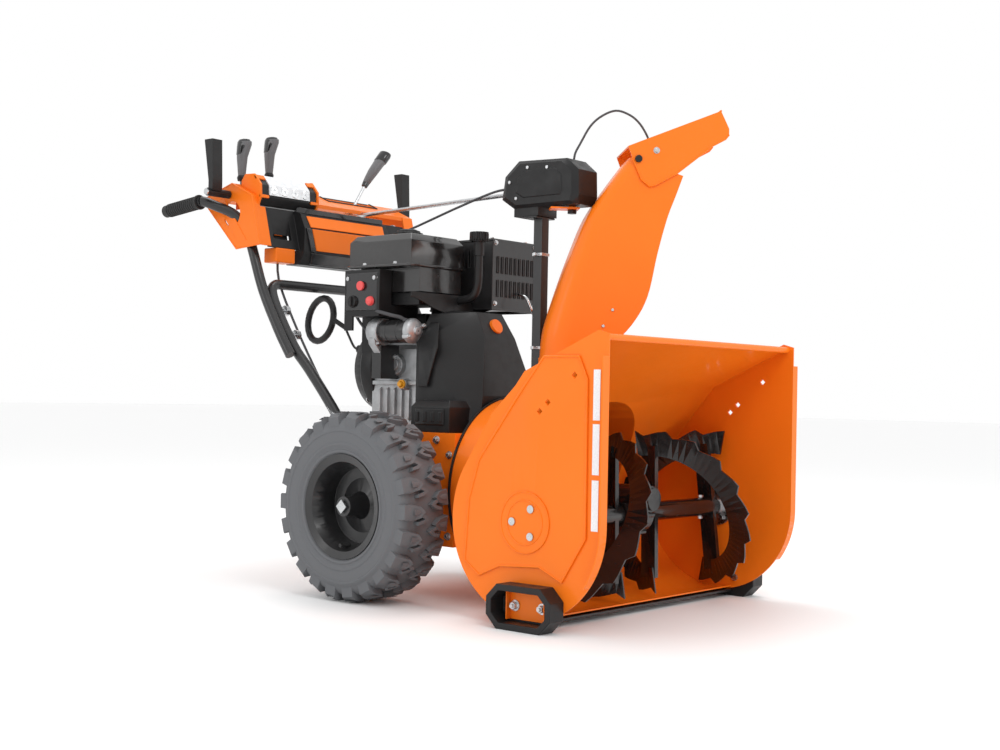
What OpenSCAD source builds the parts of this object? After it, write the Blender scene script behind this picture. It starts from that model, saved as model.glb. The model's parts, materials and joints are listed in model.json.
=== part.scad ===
// Two stage snowblower: a steel auger housing and impeller drum on a wheeled chassis,
// with an engine, a turning chute and a handlebar dash.
// +Z is up, -Y is the front where snow goes in, +X is the machine's own left.
// Lengths are in millimetres.

/* [Housing and auger] */
// Width over the two side plates of the auger housing
clearing_w = 711; // [590:1:860]
// Outer radius of the auger flights
auger_r = 178; // [165:1:190]
// Running gap between the flights and the curved back sheet
auger_gap = 9; // [6:1:14]
// Height of the auger flights above the ground
auger_ground = 29; // [24:1:40]
// Height of the front edge of the housing
housing_h = 577; // [545:1:620]
// Thickness of the housing sheets
sheet = 3; // [2:0.5:4]
// Radius of the impeller drum, outside
drum_r = 208; // [200:1:214]
// Number of impeller blades
blade_count = 3; // [3:1:4]

/* [Chute] */
// Outer radius of the chute's round foot
chute_r = 69; // [62:1:70]
// Height of the chute's side walls at the front edge, above its foot
chute_rise = 430; // [380:5:520]

/* [Wheels] */
// Radius of the tyres over the lugs
tyre_r = 207; // [190:1:248]
// Width of one tyre
tyre_w = 140; // [120:1:150]
// Distance from the middle plane to the outer face of a tyre
wheel_out = 397; // [390:1:430]
// Radius of the rim flange
rim_r = 114; // [100:1:125]
// Diameter of the axle shafts
axle_d = 19; // [16:1:25]

/* [Drive] */
// Height of the crankshaft
crank_z = 514; // [500:1:540]
// Diameter of the auger and impeller shafts
shaft_d = 25.4; // [20:0.1:28]
// Pitch radius of the impeller pulley
impeller_pulley_r = 88; // [70:1:92]
// Pitch radius of the crankshaft pulley
crank_pulley_r = 38; // [30:1:42]

/* [Handlebar] */
// Diameter of the handlebar tubes
handle_d = 25; // [20:0.5:26]
// Distance from the middle plane to each grip
grip_x = 330; // [300:1:380]
// Length of a grip
grip_l = 140; // [110:1:168]
// Half width of the dash
dash_half = 280; // [250:1:290]

/* [Hidden] */
$fn = 48;

// shared gaps
fit = 0.05;          // radial gap of a shaft in its bearing
joint_gap = 0.3;     // gap between pieces that move past each other
seat_gap = 0.2;      // gap between pieces that are bolted face to face

// moves the drawing so that its box is centred on the origin
centre_shift = -25.31;

// auger and worm drive
auger_y = -486;
auger_z = auger_r + auger_ground;
wheel_teeth = 10;
worm_pitch = 12;
worm_wheel_r = wheel_teeth * worm_pitch / (2 * PI);
worm_r = 13.9;
impeller_z = auger_z + worm_wheel_r + worm_r;
plate_x = clearing_w / 2;
wrap_r = auger_r + auger_gap + sheet;

// drum and chute seat
drum_back = -147;
chute_y = -313;
chute_z = impeller_z + drum_r + 56;
pole_y = chute_y + chute_r + 18;
pole_w = 25;

// wheels and chassis
axle_z = tyre_r;
wheel_in = wheel_out - tyre_w;
chassis_x = 190;
deck_z = 368;
chassis_low = 120;
chassis_back = 215;
belt_y = -96;

// chute parts turn about this line at rest, towards the machine's left
chute_rest = 45;

// friction drive inside the chassis
traction_y = 5;
traction_pulley_r = 44;
disc_z = 290;
disc_r = 60;
disc_face = 78;
friction_r = 45;
hex_y = disc_face + 2 + friction_r;

// handlebar
paddle_y = 540;
paddle_z = 937;
grip_y0 = 584;
grip_z0 = 918;
grip_z1 = 903;
grip_y1 = grip_y0 + grip_l;
dash_front = 440;
lever_y = 520;
lever_z = 940;

// chute gear head
head_z = chute_z + 376;
spindle_low = head_z - 8;

// chute control rod: from the gear head to the lever in the dash, about one line
rod_front = [0, chute_y + 24, head_z + 45];
rod_back = [103, lever_y, lever_z - 18];
rod_dir = (rod_back - rod_front) / norm(rod_back - rod_front);
rod_yaw = atan2(-rod_dir.x, rod_dir.y);
rod_pitch = asin(rod_dir.z);

ORANGE = [0.96, 0.36, 0.03];
BLACK = [0.07, 0.07, 0.075];
STEEL = [0.72, 0.72, 0.72];
CAST = [0.55, 0.55, 0.54];

// ---------------------------------------------------------------- helpers

// every piece is drawn from the axle and then centred by this module
module piece(paint) {
    color(paint) translate([0, centre_shift, 0]) children();
}

// a YZ outline pulled along X from x0 to x1
module along_x(x0, x1) {
    translate([x0, 0, 0]) rotate([90, 0, 90]) linear_extrude(height = x1 - x0) children();
}

// an XZ outline pulled along Y from y0 to y1
module along_y(y0, y1) {
    translate([0, y1, 0]) rotate([90, 0, 0]) linear_extrude(height = y1 - y0) children();
}

// an XY outline pulled along Z from z0 to z1
module along_z(z0, z1) {
    translate([0, 0, z0]) linear_extrude(height = z1 - z0) children();
}

// a box between two corners
module block(low, high) {
    translate(low) cube(high - low);
}

// a round bar between two points
module rod(p, q, d) {
    v = q - p;
    translate(p) rotate([0, acos(v.z / norm(v)), atan2(v.y, v.x)]) cylinder(d = d, h = norm(v));
}

// cylinders along X and Y at a centre given in the other two axes
module disc_x(x0, x1, y, z, r) {
    translate([x0, y, z]) rotate([0, 90, 0]) cylinder(r = r, h = x1 - x0);
}

module disc_y(y0, y1, x, z, r) {
    translate([x, y0, z]) rotate([-90, 0, 0]) cylinder(r = r, h = y1 - y0);
}

// a hexagonal head or nut, across flats w, along the local Z
module hex_head(w, h) {
    cylinder(r = w / sqrt(3), h = h, $fn = 6);
}

module both_sides() {
    children();
    mirror([1, 0, 0]) children();
}

function unit(v) = v / norm(v);

function tangents(p) = [
    for (i = [0 : len(p) - 1]) unit(p[min(i + 1, len(p) - 1)] - p[max(i - 1, 0)])
];

function upright(n, t) = unit(n - (n * t) * t);

function frames(t, i = 0, n = [0, 0, 1], out = []) =
    i == len(t) ? out
    : let (seed = i > 0 ? n : (abs(t[0].z) < 0.9 ? [0, 0, 1] : [1, 0, 0]), m = upright(seed, t[i]))
      frames(t, i + 1, m, concat(out, [m]));

// a smooth curve through hand-picked points, with n steps between two of them
function smooth(p, n) = [
    for (i = [0 : len(p) - 2], s = [0 : n - 1])
        let (a = p[max(i - 1, 0)], b = p[i], c = p[i + 1], d = p[min(i + 2, len(p) - 1)], u = s / n)
        0.5 * (2 * b + (c - a) * u + (2 * a - 5 * b + 4 * c - d) * u * u
               + (3 * b - a - 3 * c + d) * u * u * u),
    p[len(p) - 1]
];

// faces of a skin over equal rings of points, closed at both ends
function skin_faces(rings, sides) = concat(
    [[for (k = [0 : sides - 1]) k]],
    [[for (k = [sides - 1 : -1 : 0]) (rings - 1) * sides + k]],
    [for (i = [0 : rings - 2], k = [0 : sides - 1], half = [0, 1])
        let (m = (k + 1) % sides, a = i * sides, b = a + sides)
        half == 0 ? [a + k, b + k, b + m] : [a + k, b + m, a + m]]
);

// a round tube or cord swept along a path
module sweep(path, d, sides = 12) {
    t = tangents(path);
    n = frames(t);
    points = [
        for (i = [0 : len(path) - 1], k = [0 : sides - 1])
            let (a = 360 * k / sides)
            path[i] + d / 2 * (cos(a) * n[i] + sin(a) * cross(t[i], n[i]))
    ];
    polyhedron(points = points, faces = skin_faces(len(path), sides), convexity = 6);
}

function arc(c, r, a0, a1, n) = [
    for (i = [0 : n]) let (a = a0 + (a1 - a0) * i / n) c + r * [cos(a), sin(a)]
];

function flip(list) = [for (i = [len(list) - 1 : -1 : 0]) list[i]];

function left_of(d) = [-d.y, d.x];

// a V pulley about the local Z, with its groove at z = 0
module pulley(pitch_r, bore_r, half = 11) {
    rim = pitch_r + 6;
    rotate_extrude() polygon([
        [bore_r, -half], [rim, -half], [rim, -8], [pitch_r - 7, -6.5], [pitch_r - 7, 6.5],
        [rim, 8], [rim, half], [bore_r, half]
    ]);
}

// ---------------------------------------------------------------- auger housing

auger_axis = [auger_y, auger_z];
wall_angle = 40;
wall_top_z = housing_h - 92;
wall_dir = [-sin(wall_angle), cos(wall_angle)];
wall_foot = auger_axis + wrap_r * [cos(wall_angle), sin(wall_angle)];
wall_head = wall_foot + wall_dir * (wall_top_z - wall_foot.y) / wall_dir.y;
front_y = auger_y - wrap_r - 5;
hood_tip = [front_y + 20, housing_h - 4];
hood_dir = unit(hood_tip - wall_head);
plate_r = wrap_r + 3;

function miter(t) =
    (left_of(wall_dir) + left_of(hood_dir)) / (1 + left_of(wall_dir) * left_of(hood_dir)) * t;

// the outside of the curved back sheet, moved outwards by grow
function wrap_line(grow) = concat(
    arc(auger_axis, wrap_r + grow, -103, wall_angle, 36),
    [wall_head - miter(grow), hood_tip - left_of(hood_dir) * grow]
);

module wrap_region(grow) {
    polygon(concat(wrap_line(grow), [[front_y - 200, housing_h], [front_y - 200, 0]]));
}

module auger_housing() {
    half = plate_x - sheet - seat_gap;
    piece(ORANGE) difference() {
        union() {
            along_x(-half, half) polygon(concat(wrap_line(0), flip(wrap_line(-sheet))));
            // rolled front lip of the hood
            disc_x(-half, half, hood_tip.x - 2, hood_tip.y - 4, 7);
        }
        disc_y(auger_y - 60, drum_back, 0, impeller_z, drum_r - sheet);
    }
}

// outline of a side plate from the top of the back edge round to the front
function side_line() = concat(
    arc(auger_axis, plate_r, 30, -180, 60),
    [
        [auger_y - plate_r, housing_h - 2], [auger_y - plate_r + 25, housing_h + 5],
        wall_head + [-4, 18], wall_head + [18, -10],
        (wall_head + wall_foot) / 2 + 17 * [cos(wall_angle), sin(wall_angle)]
    ]
);

function panel_line() = [
    for (p = [[-40, 325], [-125, 325], [-145, 282], [-147, -21], [-92, -108], [-37, -84],
              [64, -90], [116, -113], [155, -86], [147, 36], [122, 118], [21, 251]])
        auger_axis + p
];

bearing_bolt_r = 31;
bearing_bolts = [for (a = [0, 120, 240]) a];
skid_y = auger_y - 18;
skid_bolt_y = 34;
skid_bolt_z = 44;

// the left plate, outer face on x = plate_x
module side_plate() {
    holes = [[-115, 289], [-51, 236], [-31, 218]];
    flange = 18;
    difference() {
        union() {
            along_x(plate_x - sheet, plate_x) polygon(side_line());
            along_x(plate_x - 0.5, plate_x + 2.5) polygon(panel_line());
            disc_x(plate_x - 0.5, plate_x + 4, auger_y, auger_z, 60);
            // outward flange round the front edge and the front of the curve
            along_x(plate_x - sheet, plate_x + flange) polygon(concat(
                [[auger_y - plate_r, housing_h - 44]],
                arc(auger_axis, plate_r, -180, -144, 12),
                arc(auger_axis, plate_r - sheet, -144, -180, 12),
                [[auger_y - plate_r + sheet, housing_h - 44]]
            ));
        }
        for (a = bearing_bolts)
            disc_x(plate_x - 10, plate_x + 10, auger_y + bearing_bolt_r * cos(a),
                   auger_z + bearing_bolt_r * sin(a), 4.2);
        for (s = [-1, 1])
            disc_x(plate_x - 10, plate_x + 10, skid_y + s * skid_bolt_y, skid_bolt_z, 4.2);
        for (p = holes)
            translate([plate_x, auger_y + p.x, auger_z + p.y]) rotate([45, 0, 0]) cube([30, 10, 10], center = true);
    }
}

module side_plate_left() {
    piece(ORANGE) side_plate();
}

module side_plate_right() {
    piece(ORANGE) mirror([1, 0, 0]) side_plate();
}

collar_r = chute_r - sheet - 1;

module impeller_drum() {
    piece(ORANGE) difference() {
        union() {
            disc_y(auger_y + 10, drum_back, 0, impeller_z, drum_r);
            translate([0, chute_y, impeller_z]) cylinder(r = collar_r, h = chute_z + 18 - impeller_z);
            translate([0, chute_y, chute_z - 5]) cylinder(r = chute_r + 3, h = 4.7);
        }
        disc_y(auger_y, drum_back - sheet, 0, impeller_z, drum_r - sheet);
        disc_y(drum_back - 10, drum_back + 5, 0, impeller_z, shaft_d / 2 + 6);
        translate([0, chute_y, impeller_z]) cylinder(r = collar_r - sheet, h = 400);
        along_x(-drum_r - 20, drum_r + 20) wrap_region(seat_gap);
    }
}

module scraper_bar() {
    half = plate_x - sheet - 1;
    top = auger_z - wrap_r - seat_gap;
    piece(BLACK) block([-half, auger_y - 44, top - 5], [half, auger_y + 6, top]);
}

// ---------------------------------------------------------------- skids and trims

skid_half = 80;
skid_h = 88;
skid_depth = 44;
skid_wall = 13;

module skid_outline(inset) {
    cut = 26 - inset * 0.6;
    w = skid_half - inset;
    low = inset;
    high = skid_h - inset;
    polygon([
        [skid_y - w + cut, low], [skid_y + w - cut, low], [skid_y + w, low + cut],
        [skid_y + w, high - cut], [skid_y + w - cut, high], [skid_y - w + cut, high],
        [skid_y - w, high - cut], [skid_y - w, low + cut]
    ]);
}

module skid_shoes() {
    web = 4;
    piece(BLACK) both_sides() difference() {
        along_x(plate_x + seat_gap, plate_x + skid_depth) skid_outline(0);
        along_x(plate_x + seat_gap + web, plate_x + skid_depth + 1) skid_outline(skid_wall);
        for (s = [-1, 1])
            block([plate_x - 1, skid_y + s * skid_bolt_y - 5, skid_bolt_z - 15],
                  [plate_x + web + 2, skid_y + s * skid_bolt_y + 5, skid_bolt_z + 15]);
    }
}

module skid_brackets() {
    x0 = plate_x + seat_gap + 4 + seat_gap;
    half = skid_half - skid_wall - 20;
    piece(ORANGE) both_sides() difference() {
        union() {
            block([x0, skid_y - half, skid_wall + 4], [x0 + 2.5, skid_y + half, skid_h - skid_wall - 4]);
            for (s = [-1, 1])
                block([x0, skid_y + s * half - 1.2, skid_wall + 4],
                      [x0 + 16, skid_y + s * half + 1.2, skid_h - skid_wall - 4]);
        }
        for (s = [-1, 1]) disc_x(x0 - 5, x0 + 5, skid_y + s * skid_bolt_y, skid_bolt_z, 4.2);
    }
}

module reflectors() {
    piece([0.92, 0.92, 0.92]) both_sides() for (z = [202, 308, 411])
        block([plate_x + 0.1, front_y + 20, z], [plate_x + 1.1, front_y + 36, z + 96]);
}

knob_points = [[227.4, 398, 650], [225.4, 360, 590]];

module knob() {
    cylinder(r = 4, h = 22);
    translate([0, 0, 8]) cylinder(r = 13, h = 12, $fn = 8);
}

module fasteners() {
    piece(STEEL) {
        both_sides() {
            // carriage bolts that hold the auger bearings
            for (a = bearing_bolts)
                translate([plate_x + 4.1, auger_y + bearing_bolt_r * cos(a), auger_z + bearing_bolt_r * sin(a)])
                    rotate([0, 90, 0]) {
                        translate([0, 0, -15]) cylinder(r = 4, h = 15.5);
                        cylinder(r = 8, h = 3);
                        translate([0, 0, -18]) hex_head(13, 5);
                    }
            // skid bolts and nuts
            for (s = [-1, 1])
                translate([plate_x, skid_y + s * skid_bolt_y, skid_bolt_z]) rotate([0, 90, 0]) {
                    translate([0, 0, -8.2]) cylinder(r = 8, h = 5);
                    translate([0, 0, -5]) cylinder(r = 4, h = 27);
                    translate([0, 0, 7.2]) cylinder(r = 11, h = 2);
                    translate([0, 0, 9]) hex_head(13, 9);
                }
            // knobs that clamp the upper tubes to the lower handle
            for (p = knob_points)
                translate([p.x, p.y, p.z]) rotate([0, -90, 0]) knob();
            // pivot pins of the clutch paddles
            disc_x(dash_half + seat_gap, grip_x + 20, paddle_y, paddle_z, 5);
            disc_x(grip_x + 20, grip_x + 24, paddle_y, paddle_z, 8);
        }
    }
}

module shaft_bearings() {
    auger_in = plate_x - sheet - seat_gap;
    piece(CAST) difference() {
        union() {
            both_sides() {
                disc_x(auger_in - 4, auger_in, auger_y, auger_z, 46);
                disc_x(auger_in - 18, auger_in, auger_y, auger_z, 22);
            }
            disc_y(drum_back + seat_gap, drum_back + 5, 0, impeller_z, 46);
            disc_y(drum_back + seat_gap, drum_back + 20, 0, impeller_z, 26);
        }
        disc_x(-clearing_w, clearing_w, auger_y, auger_z, shaft_d / 2 + fit);
        disc_y(drum_back - 5, drum_back + 30, 0, impeller_z, shaft_d / 2 + fit);
        both_sides() for (a = bearing_bolts)
            disc_x(auger_in - 10, auger_in + 10, auger_y + bearing_bolt_r * cos(a),
                   auger_z + bearing_bolt_r * sin(a), 4.1);
    }
}

// ---------------------------------------------------------------- auger and gearcase

module auger_shaft() {
    half = plate_x - sheet - 2;
    bolt_x = plate_x - 75;
    piece(STEEL) {
        difference() {
            disc_x(-half, half, auger_y, auger_z, shaft_d / 2);
            for (s = [-1, 1]) rod([s * bolt_x, auger_y, auger_z - 60], [s * bolt_x, auger_y, auger_z + 60], 6.6);
        }
        // shear bolts through the auger tubes
        for (s = [-1, 1]) translate([s * bolt_x, auger_y, auger_z]) {
            translate([0, 0, -26]) cylinder(r = 3.2, h = 52);
            translate([0, 0, 22]) hex_head(11, 5);
            translate([0, 0, -27]) hex_head(11, 5);
        }
    }
}

flight_in = 58;
flight_twist = 200;
flight_start = 80;
flight_band = 56;
tooth_step = 5;

function flight_angle(x) =
    flight_start + flight_twist * (x - flight_in) / (plate_x - 26 - flight_in);

// one toothed ribbon of the left auger
module flight(turn) {
    steps = flight_twist / tooth_step;
    span = plate_x - 26 - flight_in;
    thick = 4.5;
    points = [
        for (i = [0 : steps], k = [0 : 3])
            let (
                a = flight_start + turn + i * tooth_step,
                x = flight_in + span * i / steps + (k == 1 || k == 2 ? thick / 2 : -thick / 2),
                tooth = (i % 4 == 0) ? 0 : (i % 4 == 1 ? 13 : (i % 4 == 2 ? 9 : 4)),
                r = k < 2 ? auger_r - flight_band : auger_r - tooth
            )
            [x, r * cos(a), r * sin(a)]
    ];
    polyhedron(points = points, faces = skin_faces(steps + 1, 4), convexity = 8);
}

module auger_half() {
    tube_r = 21;
    tube_end = plate_x - sheet - 20;
    bolt_x = plate_x - 75;
    difference() {
        union() {
            disc_x(49, tube_end, 0, 0, tube_r);
            for (turn = [0, 180]) flight(turn);
            // channel arms that carry the ribbons
            for (x = [flight_in + 12, bolt_x + 26])
                translate([x, 0, 0]) rotate([flight_angle(x), 0, 0]) {
                    reach = auger_r - flight_band + 22;
                    cube([5, 2 * reach, 36], center = true);
                    for (s = [-1, 1]) translate([4, 0, s * 16.5]) cube([12, 2 * reach, 3], center = true);
                }
        }
        disc_x(0, clearing_w, 0, 0, shaft_d / 2 + 0.3);
        rod([bolt_x, 0, -60], [bolt_x, 0, 60], 6.8);
    }
}

module auger_left() {
    piece(BLACK) translate([0, auger_y, auger_z]) auger_half();
}

module auger_right() {
    piece(BLACK) translate([0, auger_y, auger_z]) mirror([1, 0, 0]) auger_half();
}

worm_depth = 3.5;
tooth_w = 3;

module worm_wheel() {
    piece([0.72, 0.55, 0.25]) translate([0, auger_y, auger_z]) difference() {
        union() {
            disc_x(-7, 7, 0, 0, worm_wheel_r - 4.2);
            // a tooth stands in the gap of the worm, half a pitch from its thread
            for (i = [0 : wheel_teeth - 1]) rotate([i * 360 / wheel_teeth, 0, 0])
                block([-6, -tooth_w / 2, 8], [6, tooth_w / 2, worm_wheel_r + worm_depth]);
        }
        disc_x(-30, 30, 0, 0, shaft_d / 2 + 0.02);
    }
}

// right-hand worm thread along Y
module worm_thread() {
    turns = 4;
    per_turn = 16;
    root = worm_r - 4.6;
    tip = worm_r + worm_depth;
    low = 2.4;
    high = 1.8;
    points = [
        for (i = [0 : turns * per_turn], k = [0 : 3])
            let (
                a = 90 + 360 * i / per_turn,
                r = k < 2 ? root : tip,
                w = k < 2 ? low : high,
                y = worm_pitch * (i / per_turn - turns / 2 + 0.5) + (k == 1 || k == 2 ? w : -w)
            )
            [r * cos(a), y, -r * sin(a)]
    ];
    polyhedron(points = points, faces = skin_faces(turns * per_turn + 1, 4), convexity = 10);
}

module impeller_shaft() {
    neck = worm_r - 4.3;
    piece(STEEL) {
        disc_y(auger_y - 50, auger_y + 36, 0, impeller_z, neck);
        disc_y(auger_y + 35, belt_y + 26, 0, impeller_z, shaft_d / 2);
        translate([0, auger_y, impeller_z]) worm_thread();
    }
}

module gearcase() {
    half = 46;
    piece(BLACK) difference() {
        union() {
            disc_x(-26, 26, auger_y, auger_z, 44);
            disc_x(-half, half, auger_y, auger_z, 26);
            disc_y(auger_y - 62, auger_y + 96, 0, impeller_z, 24);
            disc_y(auger_y - 46, auger_y + 46, 0, impeller_z, 29);
            disc_y(auger_y - 54, auger_y - 50, 0, impeller_z, 28);
            for (a = [60 : 60 : 360]) translate([0, auger_y, auger_z]) rotate([a, 0, 0])
                translate([0, 44, 0]) rotate([0, 90, 0]) cylinder(r = 7, h = 40, center = true);
        }
        disc_x(-12, 12, auger_y, auger_z, 28);
        disc_x(-100, 100, auger_y, auger_z, shaft_d / 2 + fit);
        disc_y(auger_y - 36, auger_y + 34, 0, impeller_z, 20);
        disc_y(auger_y - 52, auger_y, 0, impeller_z, worm_r - 4.3 + fit);
        disc_y(auger_y, auger_y + 200, 0, impeller_z, shaft_d / 2 + fit);
    }
}

impeller_r = drum_r - sheet - 9;

module impeller() {
    y0 = auger_y + auger_r + 8;
    y1 = drum_back - 20;
    piece(BLACK) translate([0, 0, impeller_z]) difference() {
        union() {
            disc_y(y0 + 10, y1 - 1, 0, 0, 22);
            disc_y(y1 - 4, y1, 0, 0, 75);
            for (i = [0 : blade_count - 1]) rotate([0, 25 + i * 360 / blade_count, 0]) {
                block([-2.5, y0, 18], [2.5, y1 - 2, impeller_r]);
                // folded tip and the gusset behind the blade
                block([-1, y0 + 1, impeller_r - 40], [20, y0 + 5, impeller_r - 8]);
                block([-1, y1 - 7, 40], [40, y1 - 3, impeller_r - 30]);
            }
        }
        disc_y(-600, 0, 0, 0, shaft_d / 2 + 0.03);
    }
}

module impeller_pulley() {
    piece(CAST) difference() {
        translate([0, belt_y, impeller_z]) rotate([-90, 0, 0]) pulley(impeller_pulley_r, shaft_d / 2 + 0.03);
        for (a = [0 : 60 : 300])
            translate([0, belt_y, impeller_z]) rotate([0, a, 0])
                translate([0, 0, impeller_pulley_r * 0.58]) rotate([90, 0, 0]) cylinder(r = 16, h = 60, center = true);
    }
}

// a belt loop between two pulleys on x = 0: two arcs joined by straight runs
function belt_line(z1, r1, z2, r2) =
    let (lean = asin((r1 - r2) / (z2 - z1)))
    concat(arc([0, z2], r2, lean, 180 - lean, 16), arc([0, z1], r1, 180 - lean, 360 + lean, 32));

module belt(y, z1, r1, z2, r2) {
    along_y(y - 6.2, y + 6.2) difference() {
        polygon(belt_line(z1, r1 + 3, z2, r2 + 3));
        polygon(belt_line(z1, r1 - 5, z2, r2 - 5));
    }
}

module drive_belts() {
    piece(BLACK) {
        belt(belt_y, impeller_z, impeller_pulley_r, crank_z, crank_pulley_r);
        belt(traction_y, disc_z, traction_pulley_r, crank_z, 28);
    }
}

crank_d = 25;

module crank_pulley() {
    piece(CAST) {
        disc_y(belt_y - 14, 60, 0, crank_z, crank_d / 2);
        translate([0, belt_y, crank_z]) rotate([-90, 0, 0]) pulley(crank_pulley_r, crank_d / 2 + 0.03);
        translate([0, traction_y, crank_z]) rotate([-90, 0, 0]) pulley(28, crank_d / 2 + 0.03, 8.5);
    }
}
// ---------------------------------------------------------------- chassis and drive

module chassis() {
    wall = 3;
    front = drum_back + seat_gap;
    side_outline = [
        [front, chassis_low], [front, deck_z - wall], [chassis_back, deck_z - wall],
        [chassis_back, chassis_low + 60], [chassis_back - 60, chassis_low]
    ];
    piece(ORANGE) {
        difference() {
            union() {
                both_sides() {
                    along_x(chassis_x - wall, chassis_x) polygon(side_outline);
                    disc_x(chassis_x - wall, chassis_x + 6, 0, axle_z, axle_d / 2 + 12);
                    disc_x(chassis_x - wall, chassis_x + 3, hex_y, disc_z, 16);
                }
                block([-chassis_x, front, chassis_low], [chassis_x, front + wall, deck_z - wall]);
                block([-chassis_x, chassis_back - wall, chassis_low + 58], [chassis_x, chassis_back, deck_z - wall]);
                block([-chassis_x, front, deck_z - wall], [chassis_x, chassis_back, deck_z]);
                // cross plate that carries the drive disc's shaft
                block([-chassis_x, 34, disc_z - 40], [chassis_x, 38, deck_z - wall]);
                disc_y(28, 44, 0, disc_z, 18);
            }
            disc_y(front - 5, front + 10, 0, impeller_z, 52);
            block([-100, front + 8, deck_z - 10], [100, 22, deck_z + 5]);
            disc_x(-chassis_x - 20, chassis_x + 20, 0, axle_z, axle_d / 2 + fit);
            disc_x(-chassis_x - 20, chassis_x + 20, hex_y, disc_z, 7 + fit);
            disc_y(20, 60, 0, disc_z, 8 + fit);
        }
        // bottom cover
        block([-chassis_x, front, chassis_low - wall - seat_gap],
              [chassis_x, chassis_back - 60, chassis_low - seat_gap]);
    }
}

module traction_gearcase() {
    piece(CAST) difference() {
        union() {
            disc_x(-34, 34, 0, axle_z, 31);
            disc_x(-48, 48, 0, axle_z, 20);
            block([-28, -28, chassis_low + seat_gap], [28, 28, axle_z - 15]);
        }
        disc_x(-26, 26, 0, axle_z, 24);
        disc_x(-100, 100, 0, axle_z, axle_d / 2 + fit);
    }
}

module drive_disc() {
    piece(CAST) {
        disc_y(disc_face - 8, disc_face, 0, disc_z, disc_r);
        disc_y(-8, disc_face - 8, 0, disc_z, 8);
        translate([0, traction_y, disc_z]) rotate([-90, 0, 0]) pulley(traction_pulley_r, 8 + 0.03, 8.5);
    }
}

module hex_shaft() {
    piece(STEEL) {
        translate([0, hex_y, disc_z]) rotate([0, 90, 0]) hex_head_centred(16, 2 * (chassis_x - 5));
        disc_x(-chassis_x, chassis_x, hex_y, disc_z, 7);
    }
}

module hex_head_centred(w, h) {
    cylinder(r = w / sqrt(3), h = h, center = true, $fn = 6);
}

module friction_wheel() {
    x = 20;
    piece(BLACK) difference() {
        union() {
            disc_x(x - 7, x + 7, hex_y, disc_z, friction_r);
            disc_x(x - 7, x + 22, hex_y, disc_z, 17);
        }
        translate([0, hex_y, disc_z]) rotate([0, 90, 0]) hex_head_centred(16.3, 300);
    }
}

// ---------------------------------------------------------------- wheels

bead_r = rim_r - 12;
lug_count = 20;
lug_h = 13;

// one ring of lugs as a gear-shaped outline about the origin
module lug_ring(phase) {
    step = 360 / lug_count;
    polygon([
        for (i = [0 : lug_count - 1], c = [[0, 0], [0.08, 1], [0.46, 1], [0.56, 0]])
            let (a = phase + (i + c.x) * step, r = tyre_r - lug_h * (1 - c.y))
            r * [cos(a), sin(a)]
    ]);
}

module tyre(x0) {
    wall = 9;
    tread = tyre_r - lug_h;
    w = tyre_w;
    translate([x0, 0, axle_z]) rotate([0, 90, 0]) {
        rotate_extrude() polygon([
            [bead_r, 14], [rim_r + 14, 4], [rim_r + 46, 0], [tread - 14, 5], [tread, 18],
            [tread, w - 18], [tread - 14, w - 5], [rim_r + 46, w], [rim_r + 14, w - 4], [bead_r, w - 14],
            [bead_r, w - 26], [rim_r + 16, w - 4 - wall], [rim_r + 46, w - wall], [tread - 18, w - 5 - wall],
            [tread - wall, w - 22], [tread - wall, 22], [tread - 18, 5 + wall], [rim_r + 46, wall],
            [rim_r + 16, 4 + wall], [bead_r, 26]
        ]);
        for (half = [0, 1]) difference() {
            translate([0, 0, half == 0 ? 6 : w / 2 + 2]) linear_extrude(height = w / 2 - 8)
                lug_ring(half * 180 / lug_count);
            translate([0, 0, -1]) cylinder(r = tread - 3, h = w + 2);
        }
    }
}

// x0 is the inner side of the tyre, and the dish opens outwards
module rim(x0) {
    w = tyre_w;
    bore = axle_d / 2 + 0.03;
    translate([x0, 0, axle_z]) rotate([0, 90, 0]) rotate_extrude() polygon([
        [rim_r, 4], [rim_r, 8], [bead_r - 0.2, 13.2], [bead_r - 0.2, 27], [bead_r - 14, 34], [bead_r - 14, w - 34],
        [bead_r - 0.2, w - 27], [bead_r - 0.2, w - 13.2], [rim_r, w - 8], [rim_r, w - 4],
        [bead_r - 5, w - 9], [bead_r - 18, w - 36], [bead_r - 18, w - 66], [60, w - 70], [30, w - 64],
        [22, w - 40], [22, w - 12], [bore, w - 12], [bore, 20], [22, 20], [22, w - 72], [60, w - 76],
        [bead_r - 22, w - 73], [bead_r - 22, 34], [bead_r - 6, 9]
    ]);
}

module axle(x_in) {
    rod([x_in, 0, axle_z], [wheel_out - 8, 0, axle_z], axle_d);
    // square end and washer outside the hub
    translate([wheel_out - 8, 0, axle_z]) rotate([45, 0, 0]) translate([1.5, 0, 0]) cube([3, 22, 22], center = true);
}

module tyre_left() {
    piece(BLACK) tyre(wheel_in);
}

module tyre_right() {
    piece(BLACK) mirror([1, 0, 0]) tyre(wheel_in);
}

module rim_left() {
    piece(BLACK) rim(wheel_in);
}

module rim_right() {
    piece(BLACK) mirror([1, 0, 0]) rim(wheel_in);
}

module axle_left() {
    piece(STEEL) axle(18);
}

module axle_right() {
    piece(STEEL) mirror([1, 0, 0]) axle(18);
}

// ---------------------------------------------------------------- engine

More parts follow.
